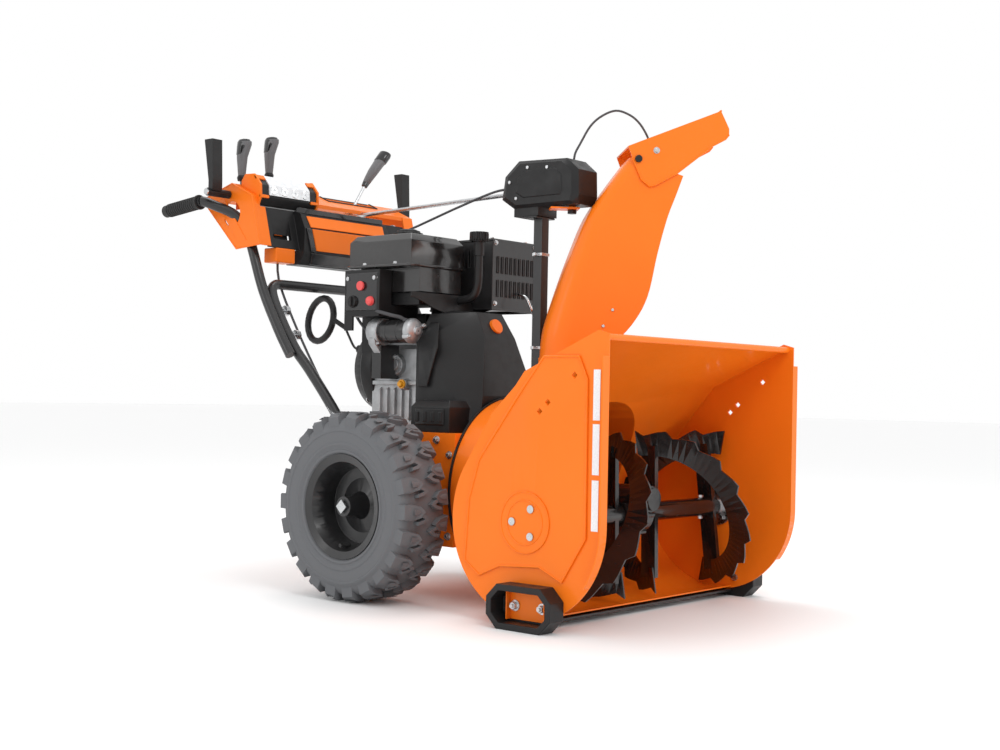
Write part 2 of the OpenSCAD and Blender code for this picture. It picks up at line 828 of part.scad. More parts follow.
module belt_cover_body(inset) {
    low = deck_z + seat_gap;
    rear = 16;
    i = inset;
    hull() {
        along_y(rear - 2, rear + (i > 0 ? 5 : 0)) polygon([
            [-150 + i, low - i], [-150 + i, 575], [-105 + i, 640 - i], [-50, 652 - i], [50, 652 - i],
            [105 - i, 640 - i], [150 - i, 575], [150 - i, low - i]
        ]);
        along_y(-76 + i, -70) polygon([[-46, 640], [-44, 646 - i], [44, 646 - i], [46, 640]]);
        along_y(-110 + i, -104) polygon([[-56 + i, 560], [-54 + i, 588 - i], [54 - i, 588 - i], [56 - i, 560]]);
        along_y(-142 + i, -136) polygon([[-108 + i, low - i], [-94 + i, 452], [94 - i, 452], [108 - i, low - i]]);
    }
}

module belt_cover() {
    piece(BLACK) difference() {
        union() {
            belt_cover_body(0);
            // shouldered box over the side of the belt run
            hull() {
                block([-180, -118, deck_z + seat_gap], [-100, 0, 425]);
                block([-168, -108, deck_z + seat_gap], [-100, -8, 440]);
            }
        }
        belt_cover_body(3);
        block([-177, -115, deck_z - 5], [-100, -3, 422]);
    }
}

module engine_block() {
    half = 104;
    y0 = 30;
    y1 = 204;
    base = deck_z + seat_gap;
    piece(CAST) difference() {
        union() {
            block([-half, y0, base + 12], [half, y1, 560]);
            block([-half - 14, y0 + 4, base], [half + 14, y1 - 4, base + 12]);
            block([-70, y0 + 10, 560], [80, y1 - 10, 606]);
            disc_y(y0, y1, 0, crank_z, 90);
            // finned cylinder on the left side
            for (x = [half : 11 : half + 66]) block([x, 44, 430], [x + 4, y1 - 18, 600]);
            block([half - 5, 62, 446], [half + 82, y1 - 34, 586]);
        }
        disc_y(y0 - 5, y0 + 36, 0, crank_z, crank_d / 2 + fit);
    }
}

rope_at = [-78, 268, 560];

module recoil_cover() {
    y0 = 204 + seat_gap;
    piece(BLACK) difference() {
        union() {
            translate([0, y0, crank_z]) rotate([-90, 0, 0]) rotate_extrude() polygon([
                [0, 0], [112, 0], [112, 30], [104, 62], [70, 84], [40, 88], [0, 88]
            ]);
            // bush that the starter rope leaves by
            disc_y(rope_at.y - 30, rope_at.y + 11, rope_at.x, rope_at.z, 11);
        }
        translate([0, y0 - 1, crank_z]) rotate([-90, 0, 0]) cylinder(r = 100, h = 40);
        for (a = [10 : 20 : 350]) translate([0, y0, crank_z]) rotate([0, a, 0])
            block([-3.5, 75, 34], [3.5, 120, 78]);
        disc_y(rope_at.y - 1, rope_at.y + 30, rope_at.x, rope_at.z, 4);
    }
}

// D-shaped grip of the recoil starter, on its rope
module recoil_handle() {
    c = [-78, 420, 636];
    piece(BLACK) {
        sweep([for (a = [0 : 15 : 345]) c + [0, 46 * cos(a) - 10 * sin(a), 54 * sin(a)], c + [0, 46, 0.01]], 17, 12);
        rod(c + [0, -92, -22], c + [0, -42, 2], 12);
        sweep(concat([rope_at], smooth([rope_at + [0, 16, 0], rope_at + [0, 30, 8], rope_at + [0, 46, 30], c + [0, -90, -21]], 4)), 6, 8);
    }
}

module starter_motor() {
    x = -156;
    z = 598;
    piece(BLACK) {
        disc_y(26, 112, x, z, 27);
        disc_y(18, 25.8, x, z, 30);
        disc_y(112.2, 150, x, z, 33);
        block([x - 8, 116, z - 110], [-104 - seat_gap, 146, z - 33.3]);
    }
}

tank_front = 10;
tank_back = 212;
tank_low = 690;
tank_seam = 750;
tank_top = 824;

module fuel_tank() {
    piece(BLACK) {
        difference() {
            union() {
                block([-150, tank_front, tank_low], [-6, tank_back - 8, tank_seam]);
                block([-186, tank_front - 5, tank_seam - 3], [5, tank_back + 5, tank_seam + 3]);
                hull() {
                    block([-180, tank_front, tank_seam], [0, tank_back, tank_top - 16]);
                    block([-168, tank_front + 12, tank_top - 4], [-12, tank_back - 12, tank_top]);
                }
                translate([-88, 108, tank_top - 2]) cylinder(r = 30, h = 6);
            }
            block([-146, tank_front + 4, tank_low + 4], [-10, tank_back - 12, tank_top - 18]);
            translate([-88, 108, tank_top - 30]) cylinder(r = 20, h = 60);
        }
    }
}

module fuel_cap() {
    piece(BLACK) translate([-88, 108, 0]) {
        translate([0, 0, tank_top + 4.3]) cylinder(r = 33, h = 8);
        translate([0, 0, tank_top + 12]) cylinder(r = 28, h = 5);
        translate([0, 0, tank_top - 14]) cylinder(r = 19.9, h = 19);
    }
}

switch_at = [-192, 154, 704];

module control_box() {
    piece(BLACK) {
        difference() {
            union() {
                block([-192, 98, 640], [-151, 214, 742]);
                block([-192, 98, 633], [-60, 204, 660]);
                block([-192, 186, 600], [-186, 214, 650]);
            }
            disc_x(switch_at.x - 1, switch_at.x + 22, switch_at.y, switch_at.z, 8.4);
        }
        // carburettor and intake between the tank and the crankcase
        block([-64, 68, 606 + seat_gap], [60, 190, 645]);
        block([-140, 20, 660.3], [-36, 200, tank_low - seat_gap]);
    }
}

module stop_switch() {
    piece([0.75, 0.1, 0.05]) {
        disc_x(switch_at.x - 6, switch_at.x + 14, switch_at.y, switch_at.z, 8.2);
        disc_x(switch_at.x - 10, switch_at.x - 4, switch_at.y, switch_at.z, 11);
    }
}

module muffler() {
    low = [26, -60, 656];
    high = [190, 140, 826];
    piece(BLACK) {
        difference() {
            block(low, high);
            block(low + [3, 3, -5], high - [3, 3, 3]);
            for (row = [0, 1], i = [0 : 8])
                block([low.x + 16 + i * 16, low.y - 5, 688 + row * 56], [low.x + 23 + i * 16, low.y + 8, 728 + row * 56]);
            for (i = [0 : 6])
                block([low.x - 5, low.y + 30 + i * 20, 760], [low.x + 8, low.y + 38 + i * 20, 800]);
        }
        // canister inside the guard, on its stub to the cylinder
        difference() {
            union() {
                block([46, -36, 662], [170, 110, 790]);
                block([110, 70, 600.3], [150, 110, 664]);
                for (x = [29, 170]) block([x + (x < 100 ? 0.2 : 0), 0, 700], [x < 100 ? 46 : 186.8, 20, 716]);
            }
            block([50, -32, 666], [166, 106, 786]);
        }
    }
}

oil_cap_at = [-22, -58, 812];

module oil_tube() {
    piece(BLACK) difference() {
        union() {
            sweep(concat([[-22, 52, 606.3]], smooth([[-22, 52, 634], [-22, 44, 660], [-22, 10, 674],
                [-22, -36, 682], [-22, -55, 706], [-22, -58, 760], [-22, -58, 790]], 4)), 20, 16);
            translate([oil_cap_at.x, oil_cap_at.y, 780]) cylinder(r = 12.5, h = 32);
        }
        translate([oil_cap_at.x, oil_cap_at.y, 790]) cylinder(r = 8, h = 60);
    }
}

module oil_cap() {
    piece(BLACK) translate(oil_cap_at) {
        translate([0, 0, -18]) cylinder(r = 7.9, h = 20);
        translate([0, 0, joint_gap]) cylinder(r = 18, h = 8);
        translate([0, 0, 6]) difference() {
            cylinder(r = 22, h = 17);
            for (a = [0 : 24 : 336]) rotate([0, 0, a]) translate([23, 0, -1]) cylinder(r = 3, h = 30, $fn = 16);
        }
    }
}

// ---------------------------------------------------------------- chute

module chute_pole() {
    half = pole_w / 2;
    top = head_z - 23;
    piece(BLACK) difference() {
        union() {
            block([-half, pole_y - half, impeller_z + drum_r - 20], [half, pole_y + half, top]);
            block([-34, pole_y - half, top], [34, pole_y + half + 14, top + 4]);
            block([-36, pole_y - half, impeller_z + drum_r - 20], [36, pole_y + half + 24, impeller_z + drum_r + 8]);
        }
        block([-half + 2.5, pole_y - half + 2.5, impeller_z + drum_r + 12], [half - 2.5, pole_y + half - 2.5, top - 4]);
        disc_y(auger_y, 0, 0, impeller_z, drum_r + seat_gap);
    }
}

head_mid = [chute_y + 62, head_z + 52];
head_line = [
    [chute_y - 37, head_z], [chute_y + 140, head_z], [chute_y + 176, head_z + 23], [chute_y + 168, head_z + 75],
    [chute_y + 128, head_z + 108], [chute_y - 10, head_z + 103], [chute_y - 42, head_z + 76], [chute_y - 44, head_z + 20]
];

function head_scaled(k) = [for (q = head_line) head_mid + k * (q - head_mid)];

module gear_head() {
    half = 42;
    clear = [45, 111];
    piece(BLACK) difference() {
        union() {
            intersection() {
                hull() {
                    along_x(-half + 8, half - 8) polygon(head_line);
                    along_x(-half, half) polygon(head_scaled(0.86));
                }
                // the front is rounded so that the chute can turn past it
                union() {
                    translate([0, chute_y, head_z]) cylinder(r1 = clear[0], r2 = clear[1], h = 110);
                    block([-60, chute_y, head_z], [60, chute_y + 200, head_z + 120]);
                }
            }
            block([-half + 8, chute_y + 70, head_z - 19 + seat_gap], [half - 8, chute_y + 140, head_z + 4]);
        }
        along_x(-half + 5, half - 5) polygon(head_scaled(0.84));
        translate([0, chute_y, head_z - 10]) cylinder(r = 8 + fit, h = 40);
        translate([0, chute_y, head_z + 4]) cylinder(r = 31, h = 13);
        rod(rod_front + rod_dir * 100, rod_front + rod_dir * 240, 16);
    }
}

module in_chute() {
    translate([0, chute_y, 0]) rotate([0, 0, chute_rest]) children();
}

// chute wall: back point, front point, half width and back corner radius, from foot to rim
chute_foot = chute_z + 16;
chute_sections = [
    [[-66, chute_foot], [58, chute_foot], chute_r, 66],
    [[-66, chute_foot + 26], [72, chute_foot + 34], chute_r, 64],
    [[-59, chute_foot + 84], [127, chute_foot + 96], 70, 56],
    [[-33, chute_foot + 170], [160, chute_foot + 158], 71, 48],
    [[-2, chute_foot + 258], [180, chute_foot + 252], 72, 42],
    [[30, chute_foot + 336], [200, chute_foot + 330], 73, 36],
    [[73, chute_foot + 402], [218, chute_foot + 380], 73.5, 30],
    [[118, chute_foot + 464], [234, chute_foot + chute_rise - 5], 74, 26]
];

function u_line(w, rc, l) = concat(
    [[w, l]], arc([w - rc, rc], rc, 0, -90, 8), arc([rc - w, rc], rc, -90, -180, 8), [[-w, l]]
);

function u_ring(s, t) = let (
    b = s[0], f = s[1], d = unit(f - b), l = norm(f - b),
    outer = u_line(s[2], s[3], l),
    inner = [for (q = u_line(s[2] - t, s[3] - t, l - t)) q + [0, t]]
) [for (q = concat(outer, flip(inner))) let (m = b + q.y * d) [q.x, -m.x, m.y]];

hinge_r = 134;
hinge_z = chute_foot + 458;
gear_pitch_r = 22;
gear_teeth = 12;

module chute() {
    t = sheet;
    rings = [for (s = chute_sections) u_ring(s, t)];
    tab_z = head_z - 8;
    piece(ORANGE) in_chute() {
        difference() {
            union() {
                polyhedron(points = [for (r = rings) each r], faces = skin_faces(len(rings), len(rings[0])), convexity = 8);
                // round foot that turns on the drum's collar
                translate([0, 0, chute_z]) cylinder(r = chute_r, h = 36);
            }
            translate([0, 0, chute_z - 1]) cylinder(r = collar_r + 0.35, h = 19.4);
            translate([0, 0, chute_z - 1]) cylinder(r = chute_r - sheet - 0.4, h = 60);
            disc_x(-100, 100, -hinge_r, hinge_z, 4 + fit);
        }
        // arm from the back of the chute to the gear head, its spindle and its gear
        block([-20, -50, tab_z], [20, 15, tab_z + 4]);
        translate([0, 0, tab_z]) cylinder(r = 8, h = 16);
        translate([0, 0, head_z + 5]) cylinder(r = 28, h = 4);
        for (i = [0 : gear_teeth - 1]) rotate([0, 0, i * 360 / gear_teeth - chute_rest])
            block([-1.5, 19, head_z + 8], [1.5, 27, head_z + 15]);
    }
}

module deflector_pin() {
    piece(BLACK) in_chute() {
        disc_x(-84, 84, -hinge_r, hinge_z, 4);
        for (s = [-1, 1]) disc_x(s * 81.5 - 2.5, s * 81.5 + 2.5, -hinge_r, hinge_z, 8);
        // nut under the gear spindle
        translate([0, 0, spindle_low - 9]) hex_head(19, 8.8);
    }
}

// side outline of the deflector as [reach, height] above the hinge
deflector_line = [for (p = [[-23, 28], [182, 112], [201, 73], [201, 60], [193, 50], [164, 34],
                            [87, -28], [38, -56], [26, -59], [8, -45], [-14, 4]])
                  [-hinge_r - p.x, hinge_z + p.y]];

module deflector() {
    inner = 75.2;
    outer = inner + sheet;
    top = [deflector_line[0], deflector_line[1]];
    drop = 3.2 * unit([-(top[1] - top[0]).y, (top[1] - top[0]).x]);
    piece(ORANGE) in_chute() difference() {
        union() {
            for (s = [-1, 1]) along_x(s > 0 ? inner : -outer, s > 0 ? outer : -inner) polygon(deflector_line);
            along_x(-outer, outer) polygon([top[0], top[1], top[1] + drop, top[0] + drop]);
        }
        disc_x(-100, 100, -hinge_r, hinge_z, 4 + fit);
    }
}

module deflector_cable() {
    piece(BLACK) in_chute() sweep(smooth([
        for (p = [[2, 103.8], [5, 120], [15, 140], [37, 180], [62, 204],
                  [95, 218], [127, 209], [150, 190], [167, 163], [169, 151.6]])
            [0, -p.x, head_z + p.y]
    ], 5), 5, 8);
}

module chute_rod() {
    length = norm(rod_back - rod_front);
    lean = chute_rest * gear_pitch_r / 33;
    piece(STEEL) translate(rod_front) rotate([rod_pitch, 0, rod_yaw]) {
        disc_y(-4, length + 8, 0, 0, 5);
        disc_y(-4, 3, 0, 0, 30);
        for (i = [0 : 17]) rotate([0, 10 + i * 20, 0]) block([-1.5, -4, -35.4], [1.5, 3, -24]);
        // lever at the operator's end, leaning with the chute
        translate([0, length, 0]) rotate([0, lean, 0]) {
            disc_y(-12, 8, 0, 0, 11);
            translate([0, -2, 0]) cylinder(r = 4, h = 114);
            hull() {
                translate([0, -2, 112]) cylinder(r = 9, h = 4, $fn = 32);
                translate([0, -8, 150]) scale([1, 1.35, 1]) cylinder(r = 12, h = 4, $fn = 32);
            }
            hull() {
                translate([0, -8, 150]) scale([1, 1.35, 1]) cylinder(r = 12, h = 4, $fn = 32);
                translate([5, -14, 206]) scale([1.1, 1.5, 1]) cylinder(r = 13, h = 6, $fn = 32);
            }
        }
    }
}

// ---------------------------------------------------------------- handlebar and dash

module handlebar() {
    lower = concat(
        [[206, 128, 290], [206, 150, 318], [209, 228, 416], [225, 296, 507], [236, 330, 550], [239, 368, 603],
         [241, 404, 662], [237, 424, 698], [222, 431, 713], [196, 432, 716]],
        [[60, 432, 716], [-60, 432, 716]],
        [[-196, 432, 716], [-222, 431, 713], [-237, 424, 698], [-241, 404, 662], [-239, 368, 603],
         [-236, 330, 550], [-225, 296, 507], [-209, 228, 416], [-206, 150, 318], [-206, 128, 290]]
    );
    upper = [[262, 322, 540], [262, 368, 603], [262, 428, 701], [262, 474, 809], [263, 503, 862],
             [277, 534, 892], [304, 562, 908], [grip_x - 6, 578, 917], [grip_x, grip_y0 + 2, grip_z0]];
    end0 = [grip_x, grip_y0, grip_z0];
    end1 = [grip_x, grip_y1, grip_z1];
    piece(BLACK) {
        sweep(smooth(lower, 3), handle_d, 16);
        both_sides() {
            sweep(smooth(upper, 4), handle_d, 16);
            rod(end0, end1, handle_d);
            // clamp plates that join the upper tubes to the lower handle
            for (k = [0 : 1]) let (p = knob_points[k]) block([246, p.y + 2, p.z - 10], [253, p.y + 10, p.z + 10]);
        }
    }
}

module hand_grips() {
    d = unit([0, grip_y1 - grip_y0, grip_z1 - grip_z0]);
    p0 = [grip_x, grip_y0, grip_z0] + 8 * d;
    p1 = [grip_x, grip_y1, grip_z1] + 4 * d;
    piece(BLACK) both_sides() difference() {
        union() {
            rod(p0, p1, handle_d + 6);
            rod(p0, p0 + 6 * d, handle_d + 12);
        }
        rod(p0 - 5 * d, p1 - 4 * d, handle_d + 2 * fit);
    }
}

dash_top = 966;
dash_line = [[648, 934], [533, dash_top], [455, 932], [421, 808], [511, 801]];

module dash() {
    w = dash_half;
    t = 3;
    inner = [[700, 931], [648, 930.8], [533, dash_top - t], [458, 930], [425, 811], [425, 760], [560, 760], [700, 880]];
    piece(ORANGE) difference() {
        union() {
            difference() {
                along_x(-w, w) polygon(dash_line);
                along_x(-w + t, w - t) polygon(inner);
            }
        }
        // opening for the front panel and the headlight
        block([-w + 36, 400, 780], [w - 36, 456, 934]);
        block([-w + 20, 430, 905], [-78, 512, 990]);
        // slots for the three levers
        block([rod_back.x - 84, lever_y - 16, 900], [rod_back.x + 84, lever_y + 16, 1000]);
        for (x = [speed_x, tilt_x]) block([x - 6, lever_y - 22, 900], [x + 6, lever_y + 78, 1000]);
        both_sides() disc_x(w - 10, w + 10, 530, 889, 31);
        rod(rod_back - 130 * rod_dir, rod_back, 16);
    }
    // brackets and pins that carry the two plain levers
    piece(ORANGE) for (x = [speed_x, tilt_x]) {
        for (side = [-1, 1])
            block([x + side * 7 - 1.5, lever_y + 17, 905], [x + side * 7 + 1.5, lever_y + 37, dash_top - 6]);
        disc_x(x - 8, x + 8, lever_y + 27, lever_pivot_z, 4);
    }
}

speed_x = -150;
tilt_x = -238;
lever_pivot_z = 915;

module dash_panel() {
    w = dash_half - 36.3;
    piece(BLACK) {
        difference() {
            union() {
                along_x(-w, w) polygon([[452, 905], [425, 806], [437, 806], [464, 905]]);
                along_x(-150, 150) polygon([[450, 904.8], [424, 898], [405, 858], [408, 800], [428, 770], [474, 770], [474, 806], [440, 806]]);
            }
            // hand-sized recess beside the nose
            block([-228, 400, 828], [-170, 446, 892]);
            along_x(-144, 144) polygon([[448, 890], [428, 884], [412, 852], [415, 804], [432, 776], [468, 776], [468, 800], [446, 812]]);
            // hole for the chute control rod
            rod(rod_front + rod_dir * 680, rod_front + rod_dir * 800, 18);
        }
    }
}

module headlight() {
    piece(BLACK) along_x(-dash_half + 20.5, -78.5)
        polygon([[456.3, 908], [444, 930], [446, 958], [468, 982], [500, 984], [511, 970], [511, 930], [480, 908]]);
}

// grip of a dash lever about its pivot, standing up
module lever(reach) {
    translate([0, 0, 7]) cylinder(r = 4, h = reach - 97);
    difference() {
        rotate([0, 90, 0]) cylinder(r = 9, h = 10, center = true);
        rotate([0, 90, 0]) cylinder(r = 4 + fit, h = 30, center = true);
    }
    hull() {
        translate([0, 0, reach - 92]) cylinder(r = 9, h = 3, $fn = 32);
        translate([0, 0, reach - 40]) scale([1, 1.3, 1]) cylinder(r = 12, h = 3, $fn = 32);
    }
    hull() {
        translate([0, 0, reach - 40]) scale([1, 1.3, 1]) cylinder(r = 12, h = 3, $fn = 32);
        translate([0, -10, reach - 10]) scale([1, 1.4, 1]) cylinder(r = 14, h = 8, $fn = 32);
    }
}

module speed_lever() {
    piece(CAST) translate([speed_x, lever_y + 27, lever_pivot_z]) lever(180);
}

module deflector_lever() {
    piece(CAST) translate([tilt_x, lever_y + 27, lever_pivot_z]) lever(162);
}

module clutch(side) {
    piece(BLACK) mirror([side > 0 ? 0 : 1, 0, 0]) difference() {
        union() {
            disc_x(dash_half + 3, grip_x + 19, paddle_y, paddle_z, 10);
            block([grip_x - 15, paddle_y - 14, paddle_z + 4], [grip_x + 15, paddle_y + 2, paddle_z + 30]);
            hull() {
                block([grip_x - 15, paddle_y - 14, paddle_z + 28], [grip_x + 15, paddle_y + 2, paddle_z + 32]);
                block([grip_x - 15, paddle_y - 10, paddle_z + 126], [grip_x + 15, paddle_y + 20, paddle_z + 130]);
            }
        }
        disc_x(dash_half, grip_x + 30, paddle_y, paddle_z, 5 + fit);
    }
}

module clutch_left() {
    clutch(1);
}

module clutch_right() {
    clutch(-1);
}

module control_cables() {
    routes = [
        // clutch and traction cables from the dash down to the chassis
        [[-192, 456, 805], [-190, 454, 730], [-182, 400, 620], [-172, 320, 490], [-164, 250, 390],
         [-159, 222, 350], [-158, 218.4, 332]],
        [[192, 456, 805], [190, 454, 730], [182, 400, 620], [172, 320, 490], [164, 250, 390],
         [159, 222, 350], [158, 218.4, 332]],
        // chute lock cable from the dash to the gear head
        [[84, 403.4, 856], [70, 370, 850], [40, 240, 862], [14, 60, 900], [8, -60, 928], [6, -110, 934], [6, -137.6, 932]]
    ];
    piece(BLACK) for (r = routes) sweep(smooth(r, 4), 6, 8);
}

// ---------------------------------------------------------------- drawing

auger_housing();
side_plate_right();
side_plate_left();
impeller_drum();
scraper_bar();
skid_shoes();
skid_brackets();
reflectors();
fasteners();
shaft_bearings();
gearcase();
auger_shaft();
auger_right();
auger_left();
worm_wheel();
impeller_shaft();
impeller();
impeller_pulley();
drive_belts();
crank_pulley();
belt_cover();
chassis();
traction_gearcase();
drive_disc();
hex_shaft();
friction_wheel();
tyre_right();
rim_right();
axle_right();
tyre_left();
rim_left();
axle_left();
engine_block();
recoil_cover();
recoil_handle();
starter_motor();
fuel_tank();
fuel_cap();
control_box();
stop_switch();
muffler();
oil_tube();
oil_cap();
chute_pole();
gear_head();
chute();
deflector_pin();
deflector_cable();
deflector();
chute_rod();
handlebar();
dash();
dash_panel();
headlight();
hand_grips();
speed_lever();
deflector_lever();
clutch_right();
clutch_left();
control_cables();
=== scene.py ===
"""The looks of a two stage snowblower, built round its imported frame."""

import json
import logging
import math
from dataclasses import dataclass, field
from enum import Enum
from typing import Iterable, Sequence

import bmesh
import bpy
from mathutils import Matrix, Vector

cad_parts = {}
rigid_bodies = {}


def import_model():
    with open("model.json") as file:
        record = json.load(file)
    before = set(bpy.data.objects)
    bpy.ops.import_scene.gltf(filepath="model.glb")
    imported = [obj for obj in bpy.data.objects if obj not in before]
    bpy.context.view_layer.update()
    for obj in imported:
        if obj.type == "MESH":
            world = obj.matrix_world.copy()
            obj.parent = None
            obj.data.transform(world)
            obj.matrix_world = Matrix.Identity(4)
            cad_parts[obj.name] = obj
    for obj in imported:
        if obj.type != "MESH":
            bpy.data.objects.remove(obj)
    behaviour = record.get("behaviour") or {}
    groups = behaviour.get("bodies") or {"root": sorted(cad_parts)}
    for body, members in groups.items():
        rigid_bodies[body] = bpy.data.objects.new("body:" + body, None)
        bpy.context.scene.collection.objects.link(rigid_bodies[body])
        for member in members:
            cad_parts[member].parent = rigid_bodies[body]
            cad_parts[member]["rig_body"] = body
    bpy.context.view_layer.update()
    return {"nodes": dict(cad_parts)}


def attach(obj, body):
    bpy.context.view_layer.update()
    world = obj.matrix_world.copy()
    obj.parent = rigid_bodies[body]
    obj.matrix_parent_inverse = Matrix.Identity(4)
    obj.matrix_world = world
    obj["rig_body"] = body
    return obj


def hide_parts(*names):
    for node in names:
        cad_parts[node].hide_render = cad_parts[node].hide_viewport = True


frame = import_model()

logger = logging.getLogger("snowblower")

Point = tuple[float, float, float]

# the drawing's axle plane lies this far from the middle of the whole machine, in millimetres
AXLE_SHIFT = -25.31
# the chute's upright axis in the drawing, and how far the chute is turned at rest, in degrees
CHUTE_AXIS = (0.0, -313.0, 0.0)
CHUTE_TURNED = 45.0
# merged faces may change a copy's area by this share at most
AREA_TOLERANCE = 0.0005


class Slot(str, Enum):
    """Material slots of the record."""

    ORANGE_PAINT = "orange_paint"
    BLACK_PAINT = "black_paint"
    FLIGHTS = "black_flights"
    ZINC = "zinc"
    CAST = "cast_grey"
    ALLOY = "engine_alloy"
    BLACK_PLASTIC = "black_plastic"
    ORANGE_PLASTIC = "orange_plastic"
    LEVER = "lever_grey"
    GRIP = "rubber_grip"
    TYRE = "tyre_rubber"
    BELT = "belt_rubber"
    CABLE = "cable_jacket"
    REFLECTIVE = "reflective"
    LAMP = "lamp"
    RED = "red_plastic"


class Axis(Enum):
    """Directions that a round or flat shape can be built along."""

    X = Vector((1, 0, 0))
    Y = Vector((0, 1, 0))
    Z = Vector((0, 0, 1))


def mm(x: float, y: float, z: float) -> Vector:
    """A point of the drawing, in millimetres from the axle, as a point of the frame in metres."""
    return Vector((x, y + AXLE_SHIFT, z)) / 1000


@dataclass(frozen=True)
class Finish:
    """A surface finish, with its colour variation, roughness and grain.

    Lengths are in metres and colours are linear.
    """

    name: str
    slot: Slot
    colour: Point
    roughness: float
    metallic: float = 0.0
    coat: float = 0.0
    mottle: float = 0.08
    mottle_size: float = 0.12
    rough_spread: float = 0.08
    grain_size: float = 0.0012
    grain_depth: float = 0.00002
    dust: float = 0.0
    specular: float = 0.5

    def material(self) -> bpy.types.Material:
        """The finish as a node material, made once.

        Returns:
            The material.
        """
        found = bpy.data.materials.get(self.name)
        if found:
            return found
        made = bpy.data.materials.new(self.name)
        made.use_nodes = True
        tree = made.node_tree
        shader = tree.nodes["Principled BSDF"]
        shader.inputs["Metallic"].default_value = self.metallic
        shader.inputs["Coat Weight"].default_value = self.coat
        shader.inputs["Coat Roughness"].default_value = 0.08
        shader.inputs["Specular IOR Level"].default_value = self.specular
        place = tree.nodes.new("ShaderNodeTexCoord")
        cloud = self._noise(tree, place, self.mottle_size, 5.0)
        self._colour(tree, cloud, shader)
        spread = tree.nodes.new("ShaderNodeMapRange")
        spread.inputs["From Min"].default_value = 0.3
        spread.inputs["From Max"].default_value = 0.7
        spread.inputs["To Min"].default_value = max(0.02, self.roughness - self.rough_spread)
        spread.inputs["To Max"].default_value = min(1.0, self.roughness + self.rough_spread)
        fine = self._noise(tree, place, self.mottle_size / 6, 4.0)
        tree.links.new(fine.outputs["Fac"], spread.inputs["Value"])
        tree.links.new(spread.outputs["Result"], shader.inputs["Roughness"])
        grain = self._noise(tree, place, self.grain_size, 3.0)
        bump = tree.nodes.new("ShaderNodeBump")
        bump.inputs["Distance"].default_value = self.grain_depth
        bump.inputs["Strength"].default_value = 1.0
        tree.links.new(grain.outputs["Fac"], bump.inputs["Height"])
        tree.links.new(bump.outputs["Normal"], shader.inputs["Normal"])
        return made

    def _noise(self, tree: bpy.types.NodeTree, place: bpy.types.Node, size: float,
               detail: float) -> bpy.types.Node:
        """A noise texture whose cells are about one size across.

        Args:
            tree: The node tree it goes in.
            place: The texture coordinate node.
            size: The cell size in metres.
            detail: The octaves of detail.

        Returns:
            The noise node.
        """
        noise = tree.nodes.new("ShaderNodeTexNoise")
        noise.inputs["Scale"].default_value = 1.0 / size
        noise.inputs["Detail"].default_value = detail
        tree.links.new(place.outputs["Object"], noise.inputs["Vector"])
        return noise

    def _colour(self, tree: bpy.types.NodeTree, cloud: bpy.types.Node, shader: bpy.types.Node) -> None:
        """Links the varying base colour, with dust on faces that look up where the finish has it.

        Args:
            tree: The node tree.
            cloud: The slow noise that varies the colour.
            shader: The surface shader.
        """
        ramp = tree.nodes.new("ShaderNodeValToRGB")
        ramp.color_ramp.elements[0].position = 0.3
        ramp.color_ramp.elements[1].position = 0.7
        low = [c * (1 - self.mottle) for c in self.colour]
        high = [min(1.0, c * (1 + self.mottle) + 0.002) for c in self.colour]
        ramp.color_ramp.elements[0].color = (*low, 1)
        ramp.color_ramp.elements[1].color = (*high, 1)
        tree.links.new(cloud.outputs["Fac"], ramp.inputs["Fac"])
        if self.dust <= 0:
            tree.links.new(ramp.outputs["Color"], shader.inputs["Base Color"])
            return
        geometry = tree.nodes.new("ShaderNodeNewGeometry")
        split = tree.nodes.new("ShaderNodeSeparateXYZ")
        tree.links.new(geometry.outputs["Normal"], split.inputs["Vector"])
        up = tree.nodes.new("ShaderNodeMapRange")
        up.inputs["From Min"].default_value = -0.2
        up.inputs["From Max"].default_value = 1.0
        up.inputs["To Max"].default_value = self.dust
        tree.links.new(split.outputs["Z"], up.inputs["Value"])
        scatter = tree.nodes.new("ShaderNodeMath")
        scatter.operation = "MULTIPLY"
        tree.links.new(up.outputs["Result"], scatter.inputs[0])
        tree.links.new(cloud.outputs["Fac"], scatter.inputs[1])
        mix = tree.nodes.new("ShaderNodeMix")
        mix.data_type = "RGBA"
        mix.inputs["B"].default_value = (0.33, 0.30, 0.27, 1)
        tree.links.new(scatter.outputs["Value"], mix.inputs["Factor"])
        tree.links.new(ramp.outputs["Color"], mix.inputs["A"])
        tree.links.new(mix.outputs["Result"], shader.inputs["Base Color"])


ORANGE = Finish("orange_powder_coat", Slot.ORANGE_PAINT, (0.90, 0.185, 0.008), 0.36, coat=0.15, mottle=0.02,
                rough_spread=0.04, grain_size=0.003, grain_depth=0.000008, specular=0.18)
BLACK = Finish("black_powder_coat", Slot.BLACK_PAINT, (0.012, 0.012, 0.013), 0.36, coat=0.2, mottle=0.25,
               grain_size=0.0015, grain_depth=0.00003, dust=0.03)
FLIGHT = Finish("black_gloss_flights", Slot.FLIGHTS, (0.009, 0.008, 0.008), 0.2, coat=0.35, mottle=0.2,
                mottle_size=0.05, rough_spread=0.08, grain_size=0.003, grain_depth=0.00001, specular=0.35)
ZINC = Finish("zinc_plate", Slot.ZINC, (0.56, 0.57, 0.58), 0.30, metallic=1.0, mottle=0.12, mottle_size=0.02,
              rough_spread=0.1, grain_size=0.0008, grain_depth=0.00001)
CAST = Finish("cast_iron_grey", Slot.CAST, (0.22, 0.225, 0.23), 0.55, metallic=0.7, mottle=0.15,
              mottle_size=0.03, grain_size=0.0016, grain_depth=0.00012)
ALLOY = Finish("die_cast_alloy", Slot.ALLOY, (0.42, 0.43, 0.44), 0.46, metallic=0.85, mottle=0.16,
               mottle_size=0.03, rough_spread=0.12, grain_size=0.0013, grain_depth=0.0001)
